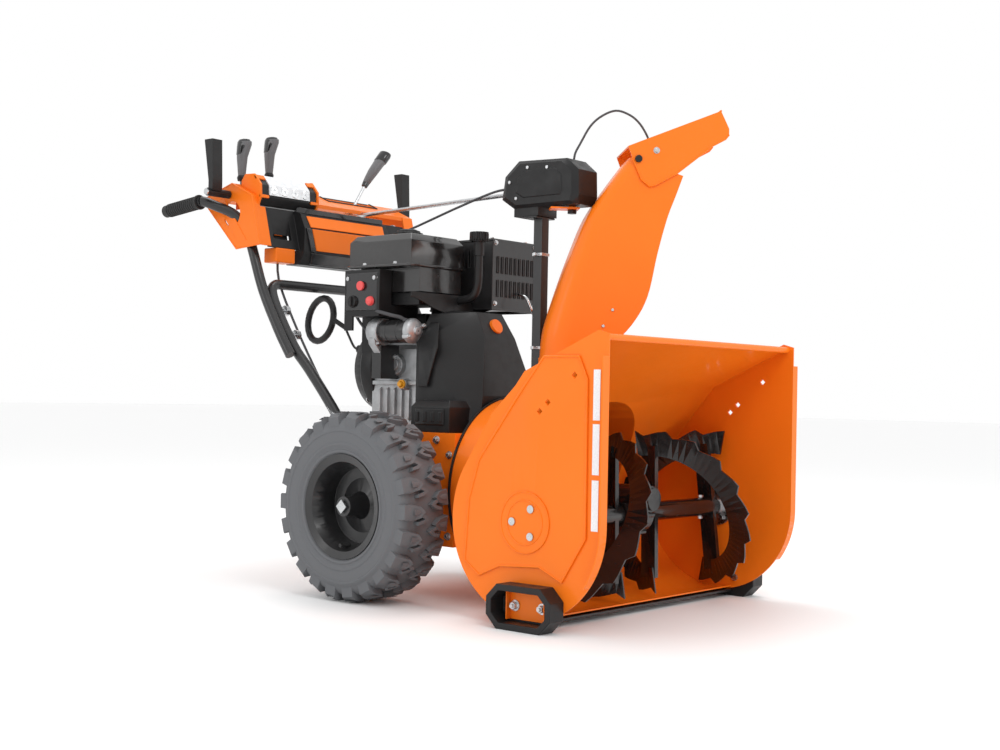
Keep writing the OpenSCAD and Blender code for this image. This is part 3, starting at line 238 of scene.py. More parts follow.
PLASTIC = Finish("black_grained_plastic", Slot.BLACK_PLASTIC, (0.012, 0.012, 0.0125), 0.42, mottle=0.2,
                 grain_size=0.0009, grain_depth=0.00003, specular=0.3)
SHINY = Finish("black_gloss_plastic", Slot.BLACK_PLASTIC, (0.011, 0.011, 0.012), 0.16, coat=0.3, mottle=0.2,
               grain_size=0.004, grain_depth=0.00002)
TANK = Finish("tank_black_enamel", Slot.BLACK_PLASTIC, (0.012, 0.011, 0.011), 0.2, coat=0.6, mottle=0.2,
              grain_size=0.004, grain_depth=0.00003)
MOULDED = Finish("orange_moulded_plastic", Slot.ORANGE_PLASTIC, (0.88, 0.178, 0.009), 0.38, coat=0.1, mottle=0.02,
                 grain_size=0.0012, grain_depth=0.000008, specular=0.2)
LEVER = Finish("lever_grey_plastic", Slot.LEVER, (0.12, 0.12, 0.125), 0.45, mottle=0.1, grain_size=0.0008,
               grain_depth=0.00005)
GRIP = Finish("grip_rubber", Slot.GRIP, (0.012, 0.012, 0.012), 0.62, mottle=0.2, grain_size=0.0011,
              grain_depth=0.0001)
TYRE = Finish("tyre_rubber", Slot.TYRE, (0.0125, 0.0125, 0.013), 0.8, mottle=0.35, mottle_size=0.05,
              rough_spread=0.1, grain_size=0.0018, grain_depth=0.00006, specular=0.18)
BELT = Finish("belt_rubber", Slot.BELT, (0.01, 0.01, 0.01), 0.75, grain_size=0.001, grain_depth=0.0001)
CABLE = Finish("cable_jacket", Slot.CABLE, (0.008, 0.008, 0.009), 0.38, grain_size=0.002, grain_depth=0.00002)
RED = Finish("red_plastic", Slot.RED, (0.55, 0.01, 0.008), 0.3, coat=0.2, grain_size=0.001)
YELLOW = Finish("yellow_plug", Slot.ORANGE_PLASTIC, (0.75, 0.33, 0.01), 0.35, grain_size=0.001)
CHROME = Finish("bright_wire", Slot.ZINC, (0.72, 0.73, 0.74), 0.12, metallic=1.0, mottle=0.05, rough_spread=0.04)
PALE = Finish("reflective_strip", Slot.REFLECTIVE, (0.80, 0.81, 0.83), 0.25, metallic=0.35, coat=0.5, mottle=0.05,
              mottle_size=0.004, grain_size=0.0016, grain_depth=0.0002)
LENS = Finish("clear_lens", Slot.LAMP, (0.78, 0.80, 0.82), 0.08, metallic=0.25, coat=1.0, mottle=0.08,
              mottle_size=0.01, rough_spread=0.03, grain_size=0.004, grain_depth=0.0002)


class Workpiece:
    """One piece on the bench: a bmesh that shapes are added to, then set in the machine.

    Places and sizes are the drawing's, in millimetres.
    """

    def __init__(self, name: str, finish: Finish, body: str = "frame") -> None:
        """Starts an empty piece.

        Args:
            name: The piece's name.
            finish: Its finish.
            body: The body it moves with.
        """
        self.name = name
        self.finish = finish
        self.body = body
        self.bm = bmesh.new()

    def box(self, low: Point, high: Point) -> "Workpiece":
        """Adds a box.

        Args:
            low: Its lowest corner.
            high: Its highest corner.

        Returns:
            The piece.
        """
        a, b = mm(*low), mm(*high)
        matrix = Matrix.Translation((a + b) / 2) @ Matrix.Diagonal((*(b - a), 1))
        bmesh.ops.create_cube(self.bm, size=1, matrix=matrix)
        return self

    def bar(self, start: Point, end: Point, radius: float, tip: float | None = None,
            sides: int = 32) -> "Workpiece":
        """Adds a round bar or cone.

        Args:
            start: The middle of its first end.
            end: The middle of its other end.
            radius: Its radius at the start.
            tip: Its radius at the end, the same if left out.
            sides: The sides of its outline.

        Returns:
            The piece.
        """
        a, b = mm(*start), mm(*end)
        turn = (b - a).to_track_quat("Z", "Y").to_matrix().to_4x4()
        bmesh.ops.create_cone(
            self.bm, cap_ends=True, segments=sides, radius1=radius / 1000,
            radius2=(radius if tip is None else tip) / 1000, depth=(b - a).length,
            matrix=Matrix.Translation((a + b) / 2) @ turn,
        )
        return self

    def bolt(self, at: Point, way: Point, size: float = 6.0, washer: bool = True) -> "Workpiece":
        """Adds a flanged hexagon bolt head with a domed middle.

        Args:
            at: The middle of its seat.
            way: The direction it stands out in.
            size: The radius of the hexagon's corners.
            washer: Whether it has a washer flange.

        Returns:
            The piece.
        """
        out = Vector(way).normalized()

        def along(h: float) -> Point:
            return tuple(Vector(at) + out * h)

        foot = 0.0
        if washer:
            self.bar(along(-1.0), along(size * 0.22), size * 1.4, size * 1.3, 24)
            foot = size * 0.22
        self.bar(along(foot - 0.5), along(foot + size * 0.75), size, size, 6)
        self.bar(along(foot + size * 0.7), along(foot + size * 0.85), size * 0.72, size * 0.6, 18)
        return self

    def lathe(self, profile: Sequence[tuple[float, float]], centre: Point, axis: Axis,
              steps: int = 64) -> "Workpiece":
        """Turns a closed profile of (radius, height) points about an axis.

        Args:
            profile: The points of the closed outline.
            centre: The point where the height is 0.
            axis: The axis it turns about.
            steps: The steps of the turn.

        Returns:
            The piece.
        """
        middle = mm(*centre)
        side = Axis.Z.value if axis is Axis.X else Axis.X.value
        points = [self.bm.verts.new(middle + side * (r / 1000) + axis.value * (h / 1000)) for r, h in profile]
        edges = [self.bm.edges.new((a, b)) for a, b in zip(points, points[1:] + points[:1])]
        bmesh.ops.spin(self.bm, geom=points + edges, cent=middle, axis=axis.value, angle=2 * math.pi, steps=steps,
                       use_merge=True, use_normal_flip=False, use_duplicate=False)
        return self

    def plate(self, outline: Sequence[Point], pull: Point, shrink: float = 1.0) -> "Workpiece":
        """Adds a plate or a block with tapered sides.

        Args:
            outline: The corners of its face, in order.
            pull: The way and length that the face is pulled.
            shrink: How much smaller the far face is than the first.

        Returns:
            The piece.
        """
        face = self.bm.faces.new([self.bm.verts.new(mm(*p)) for p in outline])
        pulled = bmesh.ops.extrude_face_region(self.bm, geom=[face])
        moved = [v for v in pulled["geom"] if isinstance(v, bmesh.types.BMVert)]
        bmesh.ops.translate(self.bm, vec=Vector(pull) / 1000, verts=moved)
        if shrink != 1.0:
            middle = sum((v.co for v in moved), Vector()) / len(moved)
            for v in moved:
                v.co = middle + (v.co - middle) * shrink
        return self

    def loft(self, rings: Sequence[Sequence[Point]], capped: bool = True) -> "Workpiece":
        """Joins closed outlines, all with as many corners, into a skin.

        Args:
            rings: The outlines, in order.
            capped: Whether the two ends are closed.

        Returns:
            The piece.
        """
        rows = [[self.bm.verts.new(mm(*p)) for p in ring] for ring in rings]
        for low, high in zip(rows, rows[1:]):
            for i in range(len(low)):
                j = (i + 1) % len(low)
                self.bm.faces.new((low[i], low[j], high[j], high[i]))
        if capped:
            for row in (rows[0], rows[-1]):
                self.bm.faces.new(row)
        return self

    def sweep(self, points: Sequence[Point], radius: float, sides: int = 12, closed: bool = False) -> "Workpiece":
        """Adds a round tube along a path.

        Args:
            points: The path.
            radius: The tube's radius.
            sides: The sides of its outline.
            closed: Whether the path is a loop.

        Returns:
            The piece.
        """
        path = [mm(*p) for p in points]
        count = len(path)
        rings: list[list[bmesh.types.BMEdge]] = []
        caps: list[list[bmesh.types.BMVert]] = []
        side: Vector | None = None
        for i, point in enumerate(path):
            before = path[(i - 1) % count] if closed or i else point
            after = path[(i + 1) % count] if closed or i < count - 1 else point
            along = (after - before).normalized()
            if side is None:
                side = along.orthogonal().normalized()
            side = (side - along * side.dot(along)).normalized()
            basis = Matrix((side, along.cross(side), along)).transposed().to_4x4()
            made = bmesh.ops.create_circle(self.bm, cap_ends=False, segments=sides, radius=radius / 1000,
                                           matrix=Matrix.Translation(point) @ basis)["verts"]
            rings.append(list({e for v in made for e in v.link_edges}))
            caps.append(made)
        pairs = list(zip(rings, rings[1:]))
        if closed:
            pairs.append((rings[-1], rings[0]))
        for a, b in pairs:
            bmesh.ops.bridge_loops(self.bm, edges=a + b)
        if not closed:
            for ring in (caps[0], caps[-1]):
                bmesh.ops.contextual_create(self.bm, geom=ring)
        return self

    def mirror(self) -> "Workpiece":
        """Adds the mirror image of everything so far across the machine's middle plane."""
        copy = bmesh.ops.duplicate(self.bm, geom=self.bm.verts[:] + self.bm.edges[:] + self.bm.faces[:])
        verts = [g for g in copy["geom"] if isinstance(g, bmesh.types.BMVert)]
        faces = [g for g in copy["geom"] if isinstance(g, bmesh.types.BMFace)]
        bmesh.ops.scale(self.bm, vec=Vector((-1, 1, 1)), verts=verts)
        bmesh.ops.reverse_faces(self.bm, faces=faces)
        return self

    def turn(self, degrees: float, about: Point, axis: Axis) -> "Workpiece":
        """Turns everything so far about an axis."""
        bmesh.ops.rotate(self.bm, verts=self.bm.verts[:], cent=mm(*about),
                         matrix=Matrix.Rotation(math.radians(degrees), 3, axis.value))
        return self

    def place(self, bevel: float = 0.0, segments: int = 2, angle: float = 32.0, smooth: bool = True,
              replaces: Iterable[str] = ()) -> bpy.types.Object:
        """Sets the finished piece in the machine.

        Args:
            bevel: The width of its rounded edges in metres.
            segments: The segments of that rounding.
            angle: Edges sharper than this many degrees are rounded and look sharp.
            smooth: Whether its faces are shaded smooth.
            replaces: The frame's nodes that it stands for.

        Returns:
            The object.
        """
        bmesh.ops.recalc_face_normals(self.bm, faces=self.bm.faces)
        mesh = bpy.data.meshes.new(self.name)
        self.bm.to_mesh(mesh)
        self.bm.free()
        return settle(self.name, mesh, self.finish, self.body, bevel, segments, angle, smooth, replaces)


def spline(points: Sequence[Sequence[float]], between: int) -> list[tuple[float, ...]]:
    """A smooth run through given rows of numbers.

    Args:
        points: The rows it passes through.
        between: The steps from each row to the next.

    Returns:
        The rows of the smooth run, the first and last given ones included.
    """
    rows = [tuple(float(v) for v in p) for p in points]
    out: list[tuple[float, ...]] = []
    for i in range(len(rows) - 1):
        a, b, c, d = rows[max(i - 1, 0)], rows[i], rows[i + 1], rows[min(i + 2, len(rows) - 1)]
        for k in range(between):
            t = k / between
            out.append(tuple(
                0.5 * (2 * q + (r - p) * t + (2 * p - 5 * q + 4 * r - s) * t * t + (3 * q - p - 3 * r + s) * t ** 3)
                for p, q, r, s in zip(a, b, c, d)
            ))
    out.append(rows[-1])
    return out


def settle(name: str, mesh: bpy.types.Mesh, finish: Finish, body: str, bevel: float, segments: int, angle: float,
           smooth: bool, replaces: Iterable[str]) -> bpy.types.Object:
    """Makes a mesh into a piece that rides on its body.

    Args:
        name: The piece's name.
        mesh: Its mesh, in the frame's place.
        finish: Its finish.
        body: The body it moves with.
        bevel: The width of its rounded edges in metres.
        segments: The segments of that rounding.
        angle: Edges sharper than this many degrees are rounded and look sharp.
        smooth: Whether its faces are shaded smooth.
        replaces: The frame's nodes that it stands for.

    Returns:
        The object.
    """
    piece = bpy.data.objects.new(name, mesh)
    bpy.context.scene.collection.objects.link(piece)
    mesh.materials.clear()
    mesh.materials.append(finish.material())
    for face in mesh.polygons:
        face.use_smooth = smooth
        face.material_index = 0
    if smooth:
        mesh.set_sharp_from_angle(angle=math.radians(angle))
    if bevel > 0:
        rounding = piece.modifiers.new("rounded_edges", "BEVEL")
        rounding.width = bevel
        rounding.segments = segments
        rounding.limit_method = "ANGLE"
        rounding.angle_limit = math.radians(angle)
        rounding.harden_normals = True
    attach(piece, body)
    nodes = list(replaces)
    if nodes:
        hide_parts(*nodes)
    logger.info("%s on %s", name, body)
    return piece


def refine(node: str, finish: Finish, bevel: float = 0.0012, segments: int = 2,
           angle: float = 32.0) -> bpy.types.Object:
    """A copy of a frame node with clean faces and rounded edges, shown in its place.

    Flat faces are merged only where that keeps the copy's area.

    Args:
        node: The node.
        finish: The copy's finish.
        bevel: The width of its rounded edges in metres.
        segments: The segments of that rounding.
        angle: Edges sharper than this many degrees are rounded.

    Returns:
        The object.
    """
    source = frame["nodes"][node]
    bm = bmesh.new()
    bm.from_mesh(source.data)
    bmesh.ops.remove_doubles(bm, verts=bm.verts, dist=0.00001)
    whole = sum(face.calc_area() for face in bm.faces)
    merged = bm.copy()
    bmesh.ops.dissolve_limit(merged, angle_limit=math.radians(0.6), verts=merged.verts, edges=merged.edges)
    check = merged.copy()
    bmesh.ops.triangulate(check, faces=check.faces[:])
    same = abs(sum(face.calc_area() for face in check.faces) - whole) < whole * AREA_TOLERANCE
    mesh = bpy.data.meshes.new(node)
    (merged if same else bm).to_mesh(mesh)
    for used in (bm, merged, check):
        used.free()
    return settle(node + "_made", mesh, finish, source["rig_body"], bevel, segments, angle, True, [node])


@dataclass
class CarriedOver:
    """Pieces that keep the frame's shape and only get finishes and rounded edges."""

    finishes: dict[str, tuple[Finish, float]] = field(default_factory=dict)

    def build(self) -> None:
        """Refines every listed node."""
        for node, (finish, bevel) in self.finishes.items():
            refine(node, finish, bevel)


@dataclass
class Wheel:
    """A snow tyre with shoulder lugs and chevrons, on a deep dished rim."""

    name: str
    body: str
    side: int
    inner: float = 257.0
    width: float = 140.0
    height: float = 207.0
    lugs: int = 22

    def build(self) -> None:
        """Builds the tyre, its tread and the small parts of the rim."""
        self._carcass()
        self._fittings()

    def _at(self, x: float, angle: float, radius: float) -> Point:
        """A point by its distance across the tyre, its angle and its radius."""
        a = math.radians(angle)
        return (self.side * (self.inner + x), -radius * math.sin(a), self.height + radius * math.cos(a))

    def _carcass(self) -> None:
        """The tyre with ribbed sidewalls and every tread block."""
        half = [(102, 126), (107, 130), (113, 132), (116, 133.5), (118, 137), (122, 137.8), (125, 135.8), (131, 137),
                (133.5, 139.3), (137, 139.6), (139, 138.2), (152, 140), (162, 139.4), (164, 141), (168, 140.4),
                (170, 138.2), (178, 135.5), (186, 130), (191, 122), (193.4, 108), (194.2, 90), (194.5, 70)]
        w = self.width
        outer = half + [(r, w - x) for r, x in reversed(half[:-1])]
        inner = [(102, 26), (128, 13), (160, 9), (176, 14), (184, 24), (185, 70),
                 (184, 116), (176, 126), (160, 131), (128, 127), (102, 114)]
        tyre = Workpiece(f"tyre_{self.name}_made", TYRE, self.body)
        profile = [(r, self.side * (self.inner + x)) for r, x in outer + inner]
        tyre.lathe(profile, (0, 0, self.height), Axis.X, 96)
        step = 360 / self.lugs
        for i in range(self.lugs):
            for edge in (0, 1):
                self._shoulder(tyre, i * step + edge * step / 2, edge, step)
                self._chevron(tyre, i * step + edge * step / 2 + step * 0.25, edge, step)
        tyre.place(0.0011, 2, 40, replaces=[f"tyre_{self.name}"])

    def _across(self, x: float, edge: int) -> float:
        """Distance across the tyre measured from one of its shoulders."""
        return self.width - x if edge else x

    def _shoulder(self, tyre: Workpiece, angle: float, edge: int, step: float) -> None:
        """One shoulder lug that points towards the middle of the tread.

        Args:
            tyre: The piece it is added to.
            angle: Where it stands round the tyre, in degrees.
            edge: Which shoulder it is on.
            step: The angle from one lug to the next.
        """
        wide = step * 0.30
        ends = [(3.0, -wide), (14, -wide * 1.05), (40, -wide * 0.75), (54, 0), (40, wide * 0.75), (14, wide * 1.05),
                (3.0, wide)]
        low = {3.0: 166, 14: 178, 40: 190, 54: 191}
        high = {3.0: 194.5, 14: 205.0, 40: 206.8, 54: 206.8}
        rows = [[self._at(self._across(x, edge), angle + a * k, z[x]) for x, a in ends]
                for z, k in ((low, 1.12), (high, 0.92))]
        tyre.loft(rows)
        groove = [(20, -wide * 0.4), (36, -wide * 0.3), (44, 0), (36, wide * 0.3), (20, wide * 0.4)]
        top = [self._at(self._across(x, edge), angle + a, 206.2) for x, a in groove]
        rim = [self._at(self._across(x, edge), angle + a * 0.8, 207.0) for x, a in groove]
        tyre.loft([top, rim])

    def _chevron(self, tyre: Workpiece, angle: float, edge: int, step: float) -> None:
        """One V-shaped block beside the middle of the tread.

        Args:
            tyre: The piece it is added to.
            angle: Where it stands round the tyre, in degrees.
            edge: Which shoulder it opens to.
            step: The angle from one lug to the next.
        """
        wide = step * 0.19
        ends = [(34, -wide * 1.2), (52, -wide * 0.9), (68, 0), (52, wide * 0.9), (34, wide * 1.2), (35, wide * 0.55),
                (48, wide * 0.3), (55, 0), (48, -wide * 0.3), (35, -wide * 0.55)]
        rows = [[self._at(self._across(x, edge), angle + a, r) for x, a in ends] for r in (191.5, 205.6)]
        tyre.loft(rows)

    def _fittings(self) -> None:
        """The valve that stands out of the dish."""
        x = self.side * (self.inner + self.width)
        valve = Workpiece(f"valve_{self.name}", GRIP, self.body)
        z = self.height - 84
        valve.bar((x - self.side * 32, 0, z), (x - self.side * 14, 0, z), 5.5, 3.6)
        valve.bar((x - self.side * 14, 0, z), (x - self.side * 5, 0, z), 4.3, 4.3, 18)
        valve.place(0.0005)


@dataclass
class Chute:
    """The discharge chute: one smooth sheet from the round foot to the wide mouth."""

    centre: Point = CHUTE_AXIS
    turned: float = CHUTE_TURNED
    foot: float = 504.0
    radius: float = 69.0
    sheet: float = 3.0
    head: float = 880.0
    sections: tuple[tuple[float, ...], ...] = (
        (-66, 520, 58, 520, 69, 66), (-66, 546, 72, 554, 69, 64), (-59, 604, 127, 616, 70, 56),
        (-33, 690, 160, 678, 71, 48), (-2, 778, 180, 772, 72, 42), (30, 856, 200, 850, 73, 36),
        (73, 922, 218, 900, 73.5, 30), (118, 984, 234, 945, 74, 26),
    )

    def build(self) -> None:
        """Builds the chute and the parts that turn with it."""
        self._sheet()
        self._trim()

    def _ring(self, row: Sequence[float]) -> list[Point]:
        """The U-shaped outline of the sheet at one section, open at the front.

        Args:
            row: Back reach and height, front reach and height, half width and corner radius.

        Returns:
            Its corners, outside then inside.
        """
        back, front = Vector((row[0], row[1])), Vector((row[2], row[3]))
        way = (front - back).normalized()
        length = (front - back).length

        def half_line(w: float, rc: float, run: float) -> list[tuple[float, float]]:
            line = [(w, run)]
            line += [(w - rc + rc * math.cos(math.radians(-a)), rc + rc * math.sin(math.radians(-a)))
                     for a in range(0, 91, 9)]
            line += [(rc - w + rc * math.cos(math.radians(-a)), rc + rc * math.sin(math.radians(-a)))
                     for a in range(90, 181, 9)]
            return line + [(-w, run)]

        outer = half_line(row[4], row[5], length)
        inner = [(x, y + self.sheet) for x, y in half_line(row[4] - self.sheet, row[5] - self.sheet,
                                                            length - self.sheet)]
        points = outer + inner[::-1]
        return [(x, self.centre[1] - (back + way * y).x, (back + way * y).y) for x, y in points]

    def _sheet(self) -> None:
        """The sheet itself, its round foot, the arm and the spindle."""
        rows = spline(self.sections, 5)
        chute = Workpiece("chute_made", ORANGE, "chute")
        chute.loft([self._ring(row) for row in rows])
        y = self.centre[1]
        r = self.radius
        z = self.foot
        chute.lathe([(r, z), (r + 3, z), (r + 3, z + 3), (r, z + 5), (r, z + 36), (r - 3.4, z + 36),
                     (r - 3.4, z + 20), (r - 1.2, z + 19)], (0, y, 0), Axis.Z, 96)
        tab = self.head - 8
        chute.box((-20, y - 15, tab), (20, y + 50, tab + 4))
        chute.bar((0, y, tab), (0, y, tab + 16), 8)
        chute.bar((0, y, self.head + 5), (0, y, self.head + 9), 28)
        for i in range(12):
            a = math.radians(i * 30)
            out = Vector((math.sin(a), -math.cos(a)))
            tooth = [(out.x * reach, y + out.y * reach, self.head + 11) for reach in (19, 27)]
            chute.bar(tooth[0], tooth[1], 2.6, 2.0, 10)
        chute.turn(self.turned, self.centre, Axis.Z)
        chute.place(0.0007, 2, 35, replaces=["chute"])

    def _trim(self) -> None:
        """Rivets along the chute's sides and the rolled rims of its open front."""
        y = self.centre[1]
        rim = Workpiece("chute_rims", ORANGE, "chute")
        for side in (-1, 1):
            path = [(side * (row[4] - 1.6), y - row[2] + 0.4, row[3]) for row in spline(self.sections, 5)]
            rim.sweep(path, 1.9, 10)
        rim.turn(self.turned, self.centre, Axis.Z)
        rim.place(0)
        rivets = Workpiece("chute_rivets", ZINC, "chute")
        for side in (-1, 1):
            for reach, z in ((64, 610), (84, 646)):
                rivets.bar((side * 69, y - reach, z), (side * 73.2, y - reach, z), 4.6, 3.0, 20)
        rivets.turn(self.turned, self.centre, Axis.Z)
        rivets.place(0.0006)


@dataclass
class Deflector:
    """The hinged hood on the chute, with its folded edges and fasteners."""

    centre: Point = CHUTE_AXIS
    turned: float = CHUTE_TURNED
    reach: float = 134.0
    height: float = 978.0
    half: float = 78.2

    def build(self) -> None:
        """Adds the hood's pivots, its folded lips and the cable's clamp."""
        y, z = self.centre[1], self.height
        bolts = Workpiece("deflector_bolts", ZINC, "deflector")
        for side in (-1, 1):
            bolts.bolt((side * self.half, y - self.reach - 40, z + 20), (side, 0, 0), 5.5)
        bolts.turn(self.turned, self.centre, Axis.Z)
        bolts.place(0.0005)
        lip = Workpiece("deflector_lips", ORANGE, "deflector")
        edge = [(-14, 4), (8, -45), (26, -59), (38, -56), (87, -28), (164, 34), (193, 50), (201, 60)]
        for side in (-1, 1):
            path = [(side * (self.half - 0.7), y - self.reach - a, z + b) for a, b in edge]
            lip.sweep(path, 2.0, 10)
        front = [(-self.half + 1, y - self.reach - 182, z + 112), (self.half - 1, y - self.reach - 182, z + 112)]
        lip.sweep(front, 2.4, 12)
        lip.turn(self.turned, self.centre, Axis.Z)
        lip.place(0)
        clamp = Workpiece("deflector_clamp", ZINC, "deflector")
        clamp.box((-9, y - self.reach - 40, z + 47.5), (9, y - self.reach - 18, z + 50))
        clamp.turn(self.turned, self.centre, Axis.Z)
        clamp.place(0.0006)


@dataclass
class Engine:
    """Details of the engine: castings, bolts, starter, tank seam, dipstick and muffler."""

    side: float = -104.0
    crank_height: float = 514.0
    cover_bosses: tuple[tuple[float, float], ...] = (
        (-88, 392), (88, 392), (-90, 470), (90, 470), (-84, 546), (84, 546),
    )

    def build(self) -> None:
        """Builds every detail of the engine."""
        self._castings()
        self._starter()
        self._tank()
        self._controls()
        self._muffler()
        self._caps()
        self._recoil()

    def _castings(self) -> None:
        """Ribs, flanges and bolts of the crankcase, and the black cowl behind it."""
        ribs = Workpiece("crankcase_ribs", ALLOY)
        x = self.side
        for i in range(6):
            y = 52 + i * 24
            ribs.plate([(x + 2, y - 3, 388), (x + 2, y + 3, 388), (x + 2, y + 3, 470), (x + 2, y - 3, 470)],
                       (-9, 0, 0), 0.82)
        ribs.plate([(x + 2, 34, 474), (x + 2, 200, 474), (x + 2, 200, 484), (x + 2, 34, 484)], (-10, 0, 0), 0.94)
        ribs.plate([(x + 2, 34, 380), (x + 2, 200, 380), (x + 2, 200, 388), (x + 2, 34, 388)], (-10, 0, 0), 0.94)
        ribs.bar((x + 2, 118, 522), (x - 12, 118, 522), 27, 24, 48)
        ribs.bar((x - 11, 118, 522), (x - 16, 118, 522), 15, 13, 32)
        ribs.bar((x + 2, 88, 476), (x - 15, 88, 476), 14, 12, 32)
        # front cover's flange with its bosses
        outline = [(-96, 376), (96, 376), (100, 420), (100, 540), (72, 592), (-72, 592), (-100, 540), (-100, 420)]
        ribs.plate([(px, 32, pz) for px, pz in outline], (0, -8, 0), 0.985)
        for px, pz in self.cover_bosses:
            ribs.bar((px, 30, pz), (px, 19, pz), 10, 8.5, 28)
        ribs.place(0.0012)
        bolts = Workpiece("crankcase_bolts", ZINC)
        for px, pz in self.cover_bosses:
            bolts.bolt((px, 19, pz), (0, -1, 0), 6)
        for y, z in ((46, 380), (120, 380), (190, 380)):
            bolts.bolt((x - 14, y, z), (0, 0, 1), 6.5)
            bolts.bolt((-x + 14, y, z), (0, 0, 1), 6.5)
        for a in range(0, 360, 60):
            t = math.radians(a + 15)
            bolts.bolt((x - 11, 118 + 20.5 * math.sin(t), 522 + 20.5 * math.cos(t)), (-1, 0, 0), 2.4, False)
        bolts.place(0.0005)
        plug = Workpiece("dipstick_plug", YELLOW)
        plug.bar((x - 15, 88, 476), (x - 20, 88, 476), 11, 11, 36)
        plug.bar((x - 20, 88, 476), (x - 27, 88, 476), 8, 7, 6)
        plug.place(0.0009)
        drain = Workpiece("drain_plug", ZINC)
        drain.bar((x + 1, 176, 398), (x - 6, 176, 398), 10, 10, 28)
        drain.bar((x - 5, 176, 398), (x - 14, 176, 398), 7, 7, 6)
        drain.place(0.0006)
        cowl = Workpiece("blower_cowl", PLASTIC)
        cowl.lathe([(92, 196), (116, 196), (118, 200), (118, 232), (113, 238), (108, 238), (108, 204), (92, 204)],
                   (0, 0, self.crank_height), Axis.Y, 96)
        cowl.plate([(-112, 198, 520), (-112, 236, 520), (-112, 236, 640), (-112, 198, 640)], (60, 0, 0), 0.96)
        cowl.place(0.002, 3)

    def _starter(self) -> None:
        """The electric starter: ribbed black barrel between two alloy end caps, with its bracket and lead."""
        x, z = -156.0, 598.0
        barrel = Workpiece("starter_motor_made", BLACK)
        profile = [(0, 27), (26, 27), (27, 29), (27, 50), (26, 51), (26, 54), (27, 55), (27, 84), (26, 85), (26, 88),
                   (27, 89), (27, 110), (26, 112), (0, 112)]
        barrel.lathe(profile, (x, 0, z), Axis.Y, 64)
        barrel.box((x - 8, 116, z - 110), (-104.2, 146, z - 30))
        barrel.place(0.0006, replaces=["starter_motor"])
        caps = Workpiece("starter_caps", ALLOY)
        caps.lathe([(0, 4), (9, 4), (11, 9), (22, 12), (28, 16), (30, 20), (30, 27.4), (0, 27.4)], (x, 0, z), Axis.Y,
                   64)
        caps.lathe([(0, 111.6), (31, 111.6), (33, 115), (33, 138), (29, 148), (18, 154), (0, 154)], (x, 0, z), Axis.Y,
                   64)
        for side in (-1, 1):
            caps.bar((x + side * 25, 10, z + side * 13), (x + side * 25, 27, z + side * 13), 6, 6.5, 24)
        caps.plate([(x - 30, 118, z - 16), (x + 40, 118, z - 40), (x + 50, 118, z - 70), (x + 14, 118, z - 74),
                    (x - 26, 118, z - 30)], (0, 22, 0))
        caps.place(0.0014, 3)
        bolts = Workpiece("starter_bolts", ZINC)
        for side in (-1, 1):
            bolts.bolt((x + side * 25, 10, z + side * 13), (0, -1, 0), 4.6)
        bolts.bolt((x + 36, 118, z - 58), (0, -1, 0), 6)
        bolts.bolt((x - 16, 118, z - 28), (0, -1, 0), 5)
        bolts.place(0.0004)
        lead = Workpiece("starter_lead", CABLE)
        lead.sweep(spline([(-186, 118, 646), (-190, 96, 642), (-186, 62, 634), (-176, 46, 630), (-164, 40, 624)], 6),
                   4.2, 14)
        lead.sweep(spline([(-152, 214, 690), (-148, 232, 672), (-140, 228, 640), (-128, 205, 606), (-122, 170, 588)],
                          6), 3.6, 14)
        lead.bar((-164, 40, 627), (-163, 39, 619), 6.5, 7.5, 20)
        lead.place(0)

    def _tank(self) -> None:
        """The rolled seam of the fuel tank, its clips, its filler neck and its heat shield."""
        seam = Workpiece("tank_seam", TANK)
        x0, x1, y0, y1, z = -186.0, 5.0, 5.0, 217.0, 750.0
        r = 16.0
        path: list[Point] = []
        for cx, cy, a0 in ((x1 - r, y1 - r, 0), (x0 + r, y1 - r, 90), (x0 + r, y0 + r, 180), (x1 - r, y0 + r, 270)):
            for k in range(0, 91, 15):
                t = math.radians(a0 + k)
                path.append((cx + r * math.cos(t), cy + r * math.sin(t), z))
        seam.sweep(path, 3.6, 12, closed=True)
        seam.place(0)
        bolts = Workpiece("tank_bolts", ZINC)
        for x, y in ((-178, 60), (-178, 160), (-4, 60), (-4, 160)):
            bolts.bolt((x, y, 753), (0, 0, 1), 6)
        for x, y, z in ((-180, 184, 672), (-192, 128, 668), (-192, 112, 722), (-192, 200, 722)):
            bolts.bolt((x, y, z), (-1, 0, 0), 5.5)
        for x, z in ((-126, 674), (-54, 674)):
            bolts.bolt((x, 20, z), (0, -1, 0), 6)
        bolts.place(0.0005)
        neck = Workpiece("filler_neck", TANK)
        neck.lathe([(22, 822), (40, 822), (38, 827), (33, 829), (22, 829)], (-88, 108, 0), Axis.Z, 64)
        neck.place(0.0008)
        shield = Workpiece("tank_shield", PLASTIC)
        shield.plate([(-184, 2, 688), (6, 2, 688), (22, -4, 664), (22, -4, 640), (-60, -4, 640), (-110, -2, 652),
                      (-150, 2, 668), (-184, 2, 676)], (0, 3, 0))
        shield.plate([(-96, 19, 592), (96, 19, 592), (96, 19, 660), (-96, 19, 660)], (0, 3, 0))
        shield.place(0.001)

